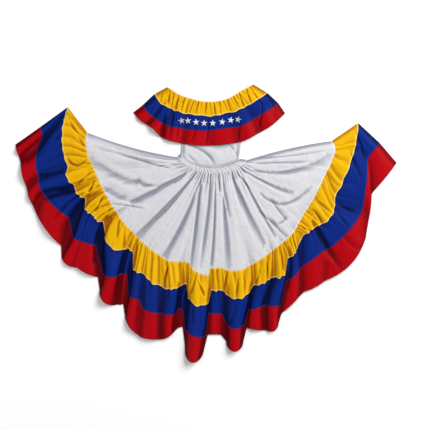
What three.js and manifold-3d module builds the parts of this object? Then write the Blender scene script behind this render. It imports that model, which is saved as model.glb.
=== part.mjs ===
import * as THREE from "three";
import { mergeVertices } from "three/addons/utils/BufferGeometryUtils.js";
import Module from "manifold-3d";

// A Venezuelan folk dress laid on its back: an off-shoulder collar, a plain bodice and a wide gathered skirt,
// with a flounce in yellow, blue and red bands. Each layer lies on the one below it.
// Millimetres. X runs across the dress, Y from the hem to the neck and Z up from the surface that it lies on.

// Cloth and the layers it lies in
const WALL = 1.2;
const SEAM_GAP = 0.3;
const LAYER = WALL + SEAM_GAP;
const BACK_Z = WALL / 2;
const EDGE_Z = BACK_Z + LAYER;
const BODICE_BACK_Z = EDGE_Z;
const BODICE_FRONT_Z = EDGE_Z + LAYER;
const EDGE_RISE = 40;
const BACK_INSET = 1;
const BACK_HEM_SHARE = 0.985;
const BACK_VALLEY_SHARE = 0.96;
const NARROW_FOLD = 50;

// Shape of one fold: how its points spread from its left side to its right, and the valley beside it
const FOLD_STEPS = 4;
const VALLEY_WIDTH = 8;
const SEAM_VALLEY_WIDTH = 4;

// Gathers at the waist and along the flounce's seam
const WAIST_GATHER = 1.8;
const FLOUNCE_GATHER = 1.6;
const COLLAR_GATHER = 1.6;

// One row for each fold of the flounce, from the skirt's left side round to its right. seam is where the fold
// starts on the skirt's edge. yellow, blue and hem are its left and right points on the lower edge of each
// band, as x, y, x, y. swell is how far the seam and those edges round out past the line between their points.
const FOLDS = [
  { seam: [-594, 455], yellow: [-691, 582, -702, 553], blue: [-829, 482, -815, 440],
    hem: [-953.5, 394, -933, 328], swell: [0, 0, 0, 2], lift: 8 },
  { seam: [-599, 438], yellow: [-707, 532, -690, 276], blue: [-842, 378, -838, 230],
    hem: [-927, 306, -898, 183], swell: [12, 20, 10, 5], lift: 14 },
  { seam: [-567, 292], yellow: [-701, 256, -657, 188], blue: [-838, 215, -816, 153],
    hem: [-893, 163, -866, 92], swell: [0, 12, 5, 4], lift: 12 },
  { seam: [-537, 222], yellow: [-653, 160, -599, 124], blue: [-800, 127, -682, 26],
    hem: [-847, 46, -722, -115], swell: [0, 8, 5, 9], lift: 20 },
  { seam: [-508, 162], yellow: [-608, 79, -568, 43], blue: [-670, -69, -612, -93],
    hem: [-725, -169, -646, -221], swell: [0, 6, 3, 15], lift: 16 },
  { seam: [-470, 92], yellow: [-560, 35, -510, 8], blue: [-607, -95, -548, -108],
    hem: [-641, -224, -537, -270], swell: [0, 12, 3, 6], lift: 18 },
  { seam: [-443, 55], yellow: [-507, -55, -388, -125], blue: [-519, -249, -430, -255],
    hem: [-534, -332, -449, -409], swell: [6, 40, 18, 28], lift: 34 },
  { seam: [-357, -50], yellow: [-384, -126, -361, -150], blue: [-422, -252, -391, -253],
    hem: [-435, -407, -410, -400], swell: [0, 2, 0, 2], lift: 5 },
  { seam: [-330, -82], yellow: [-369, -227, -309, -252], blue: [-391, -363, -330, -380],
    hem: [-407, -462, -340, -557], swell: [0, 5, 3, 12], lift: 24 },
  { seam: [-290, -118], yellow: [-304, -261, -220, -314], blue: [-317, -429, -230, -450],
    hem: [-332, -567, -230, -579], swell: [0, 12, 3, 4], lift: 22 },
  { seam: [-223, -165], yellow: [-210, -327, -118, -310], blue: [-220, -452, -150, -453],
    hem: [-220, -580, -163, -548], swell: [12, 9, 3, 4], lift: 24 },
  { seam: [-118, -188], yellow: [-112, -300, -93, -307], blue: [-140, -428, -113, -428],
    hem: [-142, -522, -113, -515], swell: [0, 0, 0, 0], lift: 4 },
  { seam: [-85, -195], yellow: [-94, -362, 15, -397], blue: [-108, -530, 0, -567],
    hem: [-108, -622, -8, -640], swell: [20, 30, 14, 62], lift: 42 },
  { seam: [18, -222], yellow: [22, -335, 85, -332], blue: [9, -449, 83, -453],
    hem: [5, -557, 79, -557], swell: [0, 4, 0, -3], lift: 5 },
  { seam: [78, -222], yellow: [92, -348, 227, -328], blue: [97, -498, 195, -498],
    hem: [97, -588, 190, -592], swell: [22, 38, 26, 48], lift: 38 },
  { seam: [226, -205], yellow: [233, -311, 325, -272], blue: [208, -434, 288, -410],
    hem: [200, -521, 290, -534], swell: [4, 10, 3, 3], lift: 20 },
  { seam: [332, -133], yellow: [331, -270, 400, -252], blue: [300, -410, 375, -411],
    hem: [300, -537, 364, -503], swell: [0, 10, 3, 18], lift: 26 },
  { seam: [380, -95], yellow: [405, -178, 459, -113], blue: [398, -290, 472, -222],
    hem: [375, -450, 475, -355], swell: [4, 12, 10, 4], lift: 20 },
  { seam: [443, -34], yellow: [483, -61, 542, -20], blue: [482, -212, 588, -135],
    hem: [488, -342, 590, -290], swell: [0, 4, 4, 5], lift: 16 },
  { seam: [488, 50], yellow: [557, -15, 645, 107], blue: [610, -130, 777, 52],
    hem: [600, -284, 802, -57], swell: [6, 26, 12, 35], lift: 22 },
  { seam: [594, 244], yellow: [643, 128, 742, 367], blue: [785, 88, 807, 317],
    hem: [811, 8, 830, 152], swell: [4, 8, 5, 2], lift: 14 },
  { seam: [646, 368], yellow: [746, 383, 760, 503], blue: [812, 333, 870, 401],
    hem: [840, 165, 953.5, 303], swell: [4, 4, 0, 16], lift: 8 },
];
const SEAM_END = [627, 412];
// The skirt's edge steps down here, where the middle fold hangs over the one on its right.
const STEPPED_FOLD = 12;
const STEPPED_SEAM_END = [16, -258];

// The gathered waist casing, from left to right: its lower edge, where the skirt starts, and its upper edge
const WAIST = [
  { lower: [-147, 332], upper: [-135, 357] },
  { lower: [-120, 300], upper: [-105, 322] },
  { lower: [-80, 272], upper: [-68, 298] },
  { lower: [-15, 250], upper: [-10, 281] },
  { lower: [50, 245], upper: [48, 278] },
  { lower: [120, 255], upper: [112, 289] },
  { lower: [170, 280], upper: [152, 309] },
  { lower: [215, 322], upper: [184, 334] },
];
// Which share of the waist feeds which share of the skirt's edge: the right side is gathered closer
const WAIST_SHARES = [
  { edge: 0, waist: 0 },
  { edge: 0.28, waist: 0.28 },
  { edge: 0.47, waist: 0.48 },
  { edge: 0.68, waist: 0.84 },
  { edge: 1, waist: 1 },
];
const TOP_EDGE_BOW = { left: -14, right: 10, reach: 0.06 };

// Creases pressed into the white front, each along three points, with its half width and depth
const CREASES = [
  { path: [-132, 310, -375, 352, -585, 422], width: 8, depth: 3 },
  { path: [-190, 277, -320, 310, -450, 357], width: 9, depth: 3 },
  { path: [-560, 312, -420, 228, -327, 212], width: 24, depth: 5 },
  { path: [-315, 200, -232, 194, -107, 247], width: 10, depth: 3 },
  { path: [-107, 252, -230, 178, -375, 107], width: 22, depth: 5 },
  { path: [-465, 97, -356, 82, -315, 74], width: 8, depth: 2 },
  { path: [-50, 252, -190, 97, -348, -59], width: 12, depth: 6 },
  { path: [-66, 145, -165, -65, -207, -142], width: 20, depth: 6 },
  { path: [-27, 207, -43, 84, -70, -167], width: 12, depth: 6 },
  { path: [22, 252, 10, 62, -31, -175], width: 11, depth: 6 },
  { path: [45, 77, 37, -52, 26, -197], width: 8, depth: 5 },
  { path: [83, 84, 106, -92, 129, -206], width: 12, depth: 5 },
  { path: [90, 202, 95, 153, 118, 38], width: 8, depth: 3 },
  { path: [144, 222, 213, 84, 294, -110], width: 18, depth: 6 },
  { path: [183, 233, 269, 19, 329, -124], width: 10, depth: 4 },
  { path: [175, 275, 320, 195, 435, 157], width: 10, depth: 4 },
  { path: [305, 143, 389, 125, 523, 190], width: 18, depth: 5 },
  { path: [325, 117, 360, 67, 398, 19], width: 8, depth: 3 },
  { path: [287, 52, 345, -12, 407, -72], width: 8, depth: 3 },
  { path: [270, 250, 500, 282, 639, 352], width: 24, depth: 4 },
  { path: [170, 317, 360, 332, 592, 342], width: 8, depth: 3 },
];
const DEEPEST_WHITE = 4;

// Height of the front cloth's middle along a rib. at counts the lines that a rib crosses: 0 casing top,
// 1 waist, 2 flounce seam, 3 yellow's lower edge, 4 blue's and 5 the hem. rise is the share of a fold's lift.
const HEIGHTS = [
  { at: 0, base: 9.4, rise: 0, waistGather: 0.8, seamGather: 0 },
  { at: 1, base: 9.6, rise: 0, waistGather: 1, seamGather: 0 },
  { at: 1.3, base: 12, rise: 0, waistGather: 0.5, seamGather: 0 },
  { at: 1.7, base: 11, rise: 0.04, waistGather: 0, seamGather: 0 },
  { at: 2, base: 7, rise: 0.16, waistGather: 0, seamGather: 1 },
  { at: 2.5, base: 5, rise: 0.5, waistGather: 0, seamGather: 0.7 },
  { at: 3, base: 3.6, rise: 0.75, waistGather: 0, seamGather: 0 },
  { at: 4, base: 3, rise: 0.95, waistGather: 0, seamGather: 0 },
  { at: 5, base: 3, rise: 1, waistGather: 0, seamGather: 0 },
];

// The pieces of the skirt, as stretches of its ribs
const FRONT_PIECES = [
  { name: "waistband_front", rows: [0, 1] },
  { name: "skirt_front", rows: [1, 1.12, 1.3, 1.52, 1.76, 2] },
  { name: "flounce_yellow_front", rows: [2, 2.5, 3] },
  { name: "flounce_blue_front", rows: [3, 3.5, 4] },
  { name: "flounce_red_front", rows: [4, 4.5, 5] },
];
const BACK_PIECES = [
  { name: "waistband_back", rows: [0, 1] },
  { name: "skirt_back", rows: [1, 1.25, 1.5, 1.75, 2] },
  { name: "flounce_yellow_back", rows: [2, 3] },
  { name: "flounce_blue_back", rows: [3, 4] },
  { name: "flounce_red_back", rows: [4, 5] },
];

// The collar from its left end to its right: a row for each section across its bands
const COLLAR = [
  { neck: [-194, 682], yellow: [-258, 647], blue: [-318, 590], hem: [-364, 555] },
  { neck: [-168, 667], yellow: [-232, 604], blue: [-285, 548], hem: [-330, 514] },
  { neck: [-145, 651], yellow: [-200, 584], blue: [-241, 515], hem: [-270, 475] },
  { neck: [-115, 637], yellow: [-160, 566], blue: [-190, 487], hem: [-215, 425] },
  { neck: [-80, 626], yellow: [-108, 549], blue: [-125, 474], hem: [-140, 402] },
  { neck: [-35, 614], yellow: [-45, 541], blue: [-50, 465], hem: [-55, 391] },
  { neck: [10, 609], yellow: [20, 535], blue: [20, 464], hem: [25, 389] },
  { neck: [60, 612], yellow: [85, 546], blue: [95, 475], hem: [105, 396] },
  { neck: [110, 625], yellow: [150, 561], blue: [175, 486], hem: [190, 412] },
  { neck: [150, 647], yellow: [200, 584], blue: [235, 519], hem: [262, 450] },
  { neck: [190, 671], yellow: [255, 615], blue: [300, 557], hem: [330, 490] },
  { neck: [236, 696], yellow: [308, 652], blue: [362, 601], hem: [396, 550] },
];
// Its largest folds: where along it, as a share from the left, their half width as a share, and their height
const COLLAR_FOLDS = [
  { at: 0.1, half: 0.05, lift: 9 },
  { at: 0.22, half: 0.05, lift: 16 },
  { at: 0.34, half: 0.045, lift: 10 },
  { at: 0.44, half: 0.05, lift: 8 },
  { at: 0.56, half: 0.05, lift: 8 },
  { at: 0.67, half: 0.05, lift: 10 },
  { at: 0.78, half: 0.05, lift: 14 },
  { at: 0.89, half: 0.05, lift: 9 },
];
const COLLAR_Z = 8.4;
const COLLAR_COLUMNS = 48;
const COLLAR_BACK_STEP = 4;
const COLLAR_PIECES = [
  { name: "collar_yellow", rows: [0, 0.5, 1] },
  { name: "collar_blue", rows: [1, 1.5, 2] },
  { name: "collar_red", rows: [2, 2.5, 3] },
];
const COLLAR_BACK_INSET = 0.04;

// The bodice from neck to waist: each row's ends, how far its middle dips, and how it puffs out
const BODICE = [
  { y: 612, dip: 22, left: -115, right: 165, puff: 0 },
  { y: 520, dip: 20, left: -120, right: 170, puff: 0 },
  { y: 402, dip: 15, left: -122, right: 174, puff: 0.15 },
  { y: 372, dip: 20, left: -124, right: 172, puff: 0.8 },
  { y: 345, dip: 27, left: -126, right: 167, puff: 0.8 },
  { y: 320, dip: 36, left: -122, right: 164, puff: 0 },
  { y: 282, dip: 48, left: -116, right: 160, puff: 0 },
];
const BODICE_PUFF = 4;
const BODICE_COLUMNS = 12;
const BODICE_BACK_COLUMNS = 4;
const BODICE_CREASES = [
  { path: [-85, 388, 5, 335, 42, 285], width: 14, depth: 3 },
  { path: [-98, 350, -70, 325, -40, 300], width: 10, depth: 3 },
  { path: [100, 400, 130, 375, 155, 350], width: 8, depth: 2 },
];

// The white stars on the collar's blue band, from left to right, and how far each is turned
const STARS = [
  { x: -129, y: 513, turn: 12 },
  { x: -88, y: 509, turn: 6 },
  { x: -48, y: 505, turn: 3 },
  { x: -7, y: 501, turn: 0 },
  { x: 36, y: 501, turn: -2 },
  { x: 79, y: 505, turn: -5 },
  { x: 121, y: 513, turn: -8 },
  { x: 162, y: 523, turn: -14 },
];
const STAR_RADIUS = 19.5;
const STAR_INNER_SHARE = 0.4;
const STAR_POINTS = 5;
const STAR_REACH = 60;

const COLOURS = { white: 0xe9e9ee, yellow: 0xf7c60c, blue: 0x16308a, red: 0xc4101c };
const ROUGHNESS = 0.7;

const mix = (a, b, t) => a + (b - a) * t;
const mixPoints = (p, q, t) => [mix(p[0], q[0], t), mix(p[1], q[1], t)];
const distance = (p, q) => Math.hypot(q[0] - p[0], q[1] - p[1]);
const arch = (t) => Math.sqrt(Math.max(0, 1 - (2 * t - 1) ** 2));
const smooth = (t) => {
  const s = Math.min(1, Math.max(0, t));
  return s * s * (3 - 2 * s);
};

// The value of one column of a table at a place between its rows
function readTable(rows, key, at, column) {
  const next = rows.findIndex((row) => row[key] >= at);
  if (next <= 0) return rows[Math.max(0, next)][column];
  const [a, b] = [rows[next - 1], rows[next]];
  return mix(a[column], b[column], (at - a[key]) / (b[key] - a[key]));
}

function curveThrough(points) {
  const vectors = points.map(([x, y]) => new THREE.Vector3(x, y, 0));
  return new THREE.CatmullRomCurve3(vectors, false, "catmullrom", 0.5);
}

function flatPoint(vector) {
  return [vector.x, vector.y];
}

// Two ends of a fold's edge drawn in by the valley, and the points between them, swelled outwards
function foldEdge(ends, swell, valley, shares) {
  const [x0, y0, x1, y1] = ends;
  const length = Math.hypot(x1 - x0, y1 - y0);
  const inset = Math.min(valley / 2, length / 5) / length;
  const outwards = [(y1 - y0) / length, (x0 - x1) / length];
  return shares.map((t) => {
    const [x, y] = mixPoints([x0, y0], [x1, y1], mix(inset, 1 - inset, t));
    return [x + outwards[0] * swell * arch(t), y + outwards[1] * swell * arch(t)];
  });
}

// Every rib of the flounce: the fold's own ribs, and one along the valley between two folds
function flounceRibs() {
  const shares = [];
  for (let i = 0; i <= FOLD_STEPS; i += 1) {
    shares.push((1 - Math.cos((Math.PI * i) / FOLD_STEPS)) / 2);
  }
  const ribs = [];
  FOLDS.forEach((fold, k) => {
    const nextSeam = k + 1 < FOLDS.length ? FOLDS[k + 1].seam : SEAM_END;
    const seamEnd = k === STEPPED_FOLD ? STEPPED_SEAM_END : nextSeam;
    const lines = [
      foldEdge([...fold.seam, ...seamEnd], fold.swell[0], SEAM_VALLEY_WIDTH, shares),
      foldEdge(fold.yellow, fold.swell[1], VALLEY_WIDTH, shares),
      foldEdge(fold.blue, fold.swell[2], VALLEY_WIDTH, shares),
      foldEdge(fold.hem, fold.swell[3], VALLEY_WIDTH, shares),
    ];
    const foldRibs = shares.map((t, i) => ({
      lines: lines.map((line) => line[i]),
      lift: fold.lift * arch(t),
      valley: false,
    }));
    if (k > 0) {
      const last = ribs[ribs.length - 1];
      const between = last.lines.map((point, i) => mixPoints(point, foldRibs[0].lines[i], 0.5));
      ribs.push({ lines: between, lift: 0, valley: true });
    }
    ribs.push(...foldRibs);
  });
  // The outermost ribs are the folded sides of the skirt, so they lie on the outline itself.
  const [first, final] = [FOLDS[0], FOLDS[FOLDS.length - 1]];
  ribs[0].lines = [first.seam, first.yellow.slice(0, 2), first.blue.slice(0, 2), first.hem.slice(0, 2)];
  ribs[ribs.length - 1].lines = [SEAM_END, final.yellow.slice(2), final.blue.slice(2), final.hem.slice(2)];
  return ribs;
}

function waistCurves() {
  const [lower, upper] = ["lower", "upper"].map((line) => curveThrough(WAIST.map((row) => row[line])));
  return { lower, upper };
}

// Gives a rib its two points on the waist casing
function hangFrom(waist, rib, share) {
  rib.upper = flatPoint(waist.upper.getPointAt(share));
  rib.lower = flatPoint(waist.lower.getPointAt(share));
}

// Adds to each rib its share along the skirt's edge, its two waist points and its curve down the flounce
function skirtRibs() {
  const ribs = flounceRibs();
  let run = 0;
  ribs.forEach((rib, i) => {
    run += i === 0 ? 0 : distance(ribs[i - 1].lines[0], rib.lines[0]);
    rib.run = run;
  });
  const waist = waistCurves();
  ribs.forEach((rib, i) => {
    rib.share = rib.run / run;
    rib.index = i;
    hangFrom(waist, rib, readTable(WAIST_SHARES, "edge", rib.share, "waist"));
    rib.curve = curveThrough(rib.lines);
    const { left, right, reach } = TOP_EDGE_BOW;
    rib.bow = left * Math.exp(-rib.share / reach) + right * Math.exp((rib.share - 1) / reach);
  });
  return ribs;
}

function ribPoint(rib, at) {
  if (at <= 1) return mixPoints(rib.upper, rib.lower, at);
  if (at <= 2) {
    const v = at - 1;
    const [x, y] = mixPoints(rib.lower, rib.lines[0], v);
    return [x, y + rib.bow * 4 * v * (1 - v)];
  }
  return flatPoint(rib.curve.getPoint((at - 2) / 3));
}

// How deep the creases of a table press the cloth at a point
function creaseDepth(creases, [x, y]) {
  let depth = 0;
  for (const crease of creases) {
    const [x0, y0, x1, y1, x2, y2] = crease.path;
    const near = Math.min(
      distanceToStretch([x, y], [x0, y0], [x1, y1]),
      distanceToStretch([x, y], [x1, y1], [x2, y2]),
    );
    depth += crease.depth * Math.exp(-((near / crease.width) ** 2));
  }
  return depth;
}

function distanceToStretch(p, a, b) {
  const length = distance(a, b);
  const along = ((p[0] - a[0]) * (b[0] - a[0]) + (p[1] - a[1]) * (b[1] - a[1])) / length ** 2;
  return distance(p, mixPoints(a, b, Math.min(1, Math.max(0, along))));
}

function frontHeight(ribs, rib, at) {
  const here = ribPoint(rib, at);
  const ends = [ribs[0], ribs[ribs.length - 1]].map((side) => distance(here, ribPoint(side, at)));
  const inside = smooth(Math.min(...ends) / EDGE_RISE);
  const waistWave = Math.cos((Math.PI / 2) * rib.index);
  const seamWave = Math.cos(Math.PI * rib.index);
  let height = readTable(HEIGHTS, "at", at, "base");
  height += rib.lift * readTable(HEIGHTS, "at", at, "rise");
  height += WAIST_GATHER * waistWave * readTable(HEIGHTS, "at", at, "waistGather");
  height += FLOUNCE_GATHER * seamWave * readTable(HEIGHTS, "at", at, "seamGather");
  if (at > 1 && at < 2) {
    height = Math.max(DEEPEST_WHITE, height - creaseDepth(CREASES, here));
  }
  return mix(EDGE_Z, height, inside);
}

// Upward normals of a grid whose rows run from neck to hem and whose columns run from left to right
function gridNormals(grid) {
  const last = [grid.length - 1, grid[0].length - 1];
  return grid.map((row, r) => row.map((_, c) => {
    const [up, down] = [grid[Math.max(0, r - 1)][c], grid[Math.min(last[0], r + 1)][c]];
    const [left, right] = [row[Math.max(0, c - 1)], row[Math.min(last[1], c + 1)]];
    return new THREE.Vector3().crossVectors(down.clone().sub(up), right.clone().sub(left)).normalize();
  }));
}

// A closed wall of cloth from the points of its upper face and of its lower face
function closedWall(top, bottom) {
  const [rows, columns] = [top.length, top[0].length];
  const positions = [...top.flat(), ...bottom.flat()].flatMap((p) => [p.x, p.y, p.z]);
  const t = (r, c) => r * columns + c;
  const b = (r, c) => (rows + r) * columns + c;
  const index = [];
  for (let r = 0; r + 1 < rows; r += 1) {
    for (let c = 0; c + 1 < columns; c += 1) {
      index.push(t(r, c), t(r + 1, c), t(r + 1, c + 1), t(r, c), t(r + 1, c + 1), t(r, c + 1));
      index.push(b(r, c), b(r + 1, c + 1), b(r + 1, c), b(r, c), b(r, c + 1), b(r + 1, c + 1));
    }
    const z = columns - 1;
    index.push(t(r, 0), b(r, 0), b(r + 1, 0), t(r, 0), b(r + 1, 0), t(r + 1, 0));
    index.push(t(r, z), b(r + 1, z), b(r, z), t(r, z), t(r + 1, z), b(r + 1, z));
  }
  const z = rows - 1;
  for (let c = 0; c + 1 < columns; c += 1) {
    index.push(t(0, c), t(0, c + 1), b(0, c + 1), t(0, c), b(0, c + 1), b(0, c));
    index.push(t(z, c), b(z, c), b(z, c + 1), t(z, c), b(z, c + 1), t(z, c + 1));
  }
  const geometry = new THREE.BufferGeometry();
  geometry.setAttribute("position", new THREE.Float32BufferAttribute(positions, 3));
  geometry.setIndex(index);
  geometry.computeVertexNormals();
  return geometry;
}

function offsetGrid(grid, normals, by) {
  return grid.map((row, r) => row.map((p, c) => p.clone().addScaledVector(normals[r][c], by)));
}

// The rows of one piece, with each end that meets another piece drawn back by half the seam's gap
function pieceRows(rows, trimStart, trimEnd) {
  const draw = (from, to) => from.map((p, c) => {
    const along = to[c].clone().sub(p).normalize();
    return p.clone().addScaledVector(along, SEAM_GAP / 2);
  });
  const last = rows.length - 1;
  const result = rows.slice();
  if (trimStart) result[0] = draw(rows[0], rows[1]);
  if (trimEnd) result[last] = draw(rows[last], rows[last - 1]);
  return result;
}

// Cuts one continuous sheet into its pieces. They share the sheet's normals, so their seams stay even.
function cutSheet(pieces, pointAt) {
  const places = [...new Set(pieces.flatMap((piece) => piece.rows))];
  const grid = places.map((at) => pointAt(at));
  const normals = gridNormals(grid);
  return pieces.map((piece, i) => {
    const picked = piece.rows.map((at) => places.indexOf(at));
    const rows = pieceRows(picked.map((r) => grid[r]), i > 0, i + 1 < pieces.length);
    const lean = picked.map((r) => normals[r]);
    const geometry = closedWall(offsetGrid(rows, lean, WALL / 2), offsetGrid(rows, lean, -WALL / 2));
    return { name: piece.name, geometry, rows, normals: lean };
  });
}

function skirtFront(ribs) {
  return cutSheet(FRONT_PIECES, (at) => ribs.map((rib) => {
    const [x, y] = ribPoint(rib, at);
    return new THREE.Vector3(x, y, frontHeight(ribs, rib, at));
  }));
}

// The back's ribs are the valleys, two in each wide fold and the folded sides, gathered evenly at the waist.
function backRibs(ribs) {
  const ribsPerFold = FOLD_STEPS + 2;
  const kept = ribs.filter((rib) => {
    if (rib.valley || rib.index === 0 || rib.index === ribs.length - 1) return true;
    const place = rib.index % ribsPerFold;
    const left = ribs[rib.index - place];
    const wide = distance(left.lines[0], ribs[left.index + FOLD_STEPS].lines[0]) > NARROW_FOLD;
    return wide && (place === 1 || place === FOLD_STEPS - 1);
  });
  const waist = waistCurves();
  return kept.map((rib, i) => {
    const copy = { ...rib };
    hangFrom(waist, copy, i / (kept.length - 1));
    return copy;
  });
}

// The back has the same outline, a little inside the front's, and lies flat.
function skirtBack(ribs) {
  const kept = backRibs(ribs);
  return cutSheet(BACK_PIECES, (at) => kept.map((rib) => {
    const share = rib.valley ? BACK_VALLEY_SHARE : BACK_HEM_SHARE;
    const [x, y] = ribPoint(rib, at === 5 ? 4 + share : at);
    const sideways = rib.index === 0 ? 1 : -1;
    const inset = rib.index === 0 || rib.index === ribs.length - 1 ? BACK_INSET * sideways : 0;
    return new THREE.Vector3(x + inset, y - Math.abs(inset), BACK_Z);
  }));
}

function collarCurves() {
  return ["neck", "yellow", "blue", "hem"].map((line) => curveThrough(COLLAR.map((row) => row[line])));
}

function collarPoint(curves, share, at) {
  const line = Math.min(2, Math.floor(at));
  const [a, b] = [curves[line], curves[line + 1]].map((curve) => flatPoint(curve.getPoint(share)));
  return mixPoints(a, b, at - line);
}

function collarHeight(curves, share, at, index) {
  const here = collarPoint(curves, share, at);
  const ends = [0, 1].map((side) => distance(here, collarPoint(curves, side, at)));
  const inside = smooth(Math.min(...ends) / EDGE_RISE);
  let height = COLLAR_Z + COLLAR_GATHER * Math.cos(Math.PI * index) * Math.max(0, 1 - at);
  for (const fold of COLLAR_FOLDS) {
    const near = Math.abs(share - fold.at) / fold.half;
    height += near < 1 ? (fold.lift * at * Math.cos((Math.PI / 2) * near) ** 2) / 3 : 0;
  }
  return mix(EDGE_Z, height, inside);
}

function collarFront(curves) {
  const pieces = COLLAR_PIECES.map((piece) => ({ name: `${piece.name}_front`, rows: piece.rows }));
  return cutSheet(pieces, (at) => Array.from({ length: COLLAR_COLUMNS + 1 }, (_, i) => {
    const share = i / COLLAR_COLUMNS;
    const [x, y] = collarPoint(curves, share, at);
    return new THREE.Vector3(x, y, collarHeight(curves, share, at, i));
  }));
}

function collarBack(curves) {
  const pieces = COLLAR_PIECES.map(({ name, rows }) => ({ name: `${name}_back`, rows: [rows[0], rows[2]] }));
  const columns = COLLAR_COLUMNS / COLLAR_BACK_STEP;
  return cutSheet(pieces, (at) => Array.from({ length: columns + 1 }, (_, i) => {
    const side = i === 0 ? BACK_INSET : i === columns ? -BACK_INSET : 0;
    const place = mix(COLLAR_BACK_INSET, 3 - COLLAR_BACK_INSET, at / 3);
    const [x, y] = collarPoint(curves, i / columns, place);
    return new THREE.Vector3(x + side, y, BACK_Z);
  }));
}

function bodicePoint(row, share) {
  return [mix(row.left, row.right, share), row.y - row.dip * (1 - (2 * share - 1) ** 2)];
}

function bodicePiece(name, columns, heightAt) {
  const rows = BODICE.map((row) => Array.from({ length: columns + 1 }, (_, i) => {
    const point = bodicePoint(row, i / columns);
    return new THREE.Vector3(...point, heightAt(row, point, i / columns));
  }));
  const normals = gridNormals(rows);
  const [top, bottom] = [WALL / 2, -WALL / 2].map((by) => offsetGrid(rows, normals, by));
  return { name, geometry: closedWall(top, bottom) };
}

function bodice() {
  const puffed = (row, point, share) => {
    const puff = Math.max(0, BODICE_PUFF - creaseDepth(BODICE_CREASES, point));
    return BODICE_FRONT_Z + row.puff * puff * arch(share);
  };
  return [
    bodicePiece("bodice_front", BODICE_COLUMNS, puffed),
    bodicePiece("bodice_back", BODICE_BACK_COLUMNS, () => BODICE_BACK_Z),
  ];
}

function starOutline(star) {
  const shape = new THREE.Shape();
  for (let i = 0; i < STAR_POINTS * 2; i += 1) {
    const radius = i % 2 === 0 ? STAR_RADIUS : STAR_RADIUS * STAR_INNER_SHARE;
    const angle = Math.PI / 2 + (Math.PI * i) / STAR_POINTS + THREE.MathUtils.degToRad(star.turn);
    const [x, y] = [star.x + radius * Math.cos(angle), star.y + radius * Math.sin(angle)];
    if (i === 0) shape.moveTo(x, y);
    else shape.lineTo(x, y);
  }
  shape.closePath();
  return shape;
}

function toSolid(wasm, geometry) {
  const plain = new THREE.BufferGeometry();
  plain.setAttribute("position", geometry.getAttribute("position"));
  if (geometry.index) plain.setIndex(geometry.index);
  const merged = mergeVertices(plain);
  const vertProperties = new Float32Array(merged.getAttribute("position").array);
  const triVerts = new Uint32Array(merged.index.array);
  return new wasm.Manifold(new wasm.Mesh({ numProp: 3, vertProperties, triVerts }));
}

function fromSolid(solid) {
  const mesh = solid.getMesh();
  const geometry = new THREE.BufferGeometry();
  geometry.setAttribute("position", new THREE.Float32BufferAttribute(mesh.vertProperties, 3));
  geometry.setIndex(Array.from(mesh.triVerts));
  geometry.computeVertexNormals();
  return geometry;
}

// Each star is a patch of a sheet that follows the blue band's upper face, one seam gap above it.
function stars(wasm, band) {
  const upper = offsetGrid(band.rows, band.normals, WALL / 2);
  const raise = (by) => upper.map((row) => row.map((p) => p.clone().setZ(p.z + by)));
  const patchSheet = toSolid(wasm, closedWall(raise(SEAM_GAP + WALL), raise(SEAM_GAP)));
  return STARS.map((star, i) => {
    const block = new THREE.ExtrudeGeometry(starOutline(star), { depth: STAR_REACH, bevelEnabled: false });
    const cut = patchSheet.intersect(toSolid(wasm, block));
    return { name: `star_${i + 1}`, geometry: fromSolid(cut) };
  });
}

function colourOf(name) {
  const found = Object.keys(COLOURS).find((colour) => name.includes(colour));
  return COLOURS[found ?? "white"];
}

const wasm = await Module();
wasm.setup();

const ribs = skirtRibs();
const curves = collarCurves();
const collarPieces = collarFront(curves);
const pieces = [
  ...skirtBack(ribs),
  ...collarBack(curves),
  ...bodice(),
  ...skirtFront(ribs),
  ...collarPieces,
  ...stars(wasm, collarPieces[1]),
];

const dress = new THREE.Group();
for (const piece of pieces) {
  const material = new THREE.MeshStandardMaterial({
    color: colourOf(piece.name), roughness: ROUGHNESS, metalness: 0,
  });
  const mesh = new THREE.Mesh(piece.geometry, material);
  mesh.name = piece.name;
  dress.add(mesh);
}

export default dress;
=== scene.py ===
import math
import random

import bmesh
import bpy
import numpy as np
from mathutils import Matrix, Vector
from mathutils.bvhtree import BVHTree


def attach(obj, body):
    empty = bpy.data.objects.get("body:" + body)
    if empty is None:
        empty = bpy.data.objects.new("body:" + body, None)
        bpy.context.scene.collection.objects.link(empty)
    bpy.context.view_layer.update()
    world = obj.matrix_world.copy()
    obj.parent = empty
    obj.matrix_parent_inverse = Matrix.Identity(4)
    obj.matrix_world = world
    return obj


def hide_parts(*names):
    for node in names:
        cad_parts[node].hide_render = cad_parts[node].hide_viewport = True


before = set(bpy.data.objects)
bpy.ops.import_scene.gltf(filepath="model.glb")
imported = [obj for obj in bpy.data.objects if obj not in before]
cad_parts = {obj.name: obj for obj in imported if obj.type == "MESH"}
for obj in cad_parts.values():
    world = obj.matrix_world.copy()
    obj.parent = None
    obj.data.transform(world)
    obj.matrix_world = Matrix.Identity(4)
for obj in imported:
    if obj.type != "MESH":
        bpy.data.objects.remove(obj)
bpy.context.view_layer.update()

bl_info = {
    "name": "Venezuelan folk dress",
    "version": (1, 0, 0),
    "blender": (4, 5, 0),
    "location": "View3D > Sidebar > Folk dress",
    "description": "Builds a tricolour folk dress laid flat, with its cloth, gathers and stage",
    "category": "Object",
}

MM = 0.001


def table(keys, rows):
    """Rows of values as dictionaries that share their keys."""
    return [dict(zip(keys.split(), row)) for row in rows]


# Millimetres from here on, in the dress's own frame: X across it, Y from hem to neck, Z up from the surface.
# Thickness of the cloth and of a sewn patch, and half the gap between two pieces along a seam
WALL = 1.0
PATCH_WALL = 0.8
SEAM_DRAW = 0.15

# Heights of the middle of the cloth: the back on the surface, the front's outer edge and the bodice's panels
BACK_Z = 0.6
EDGE_Z = 2.1
BODICE_BACK_Z = 2.1
BODICE_FRONT_Z = 3.6
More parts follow.
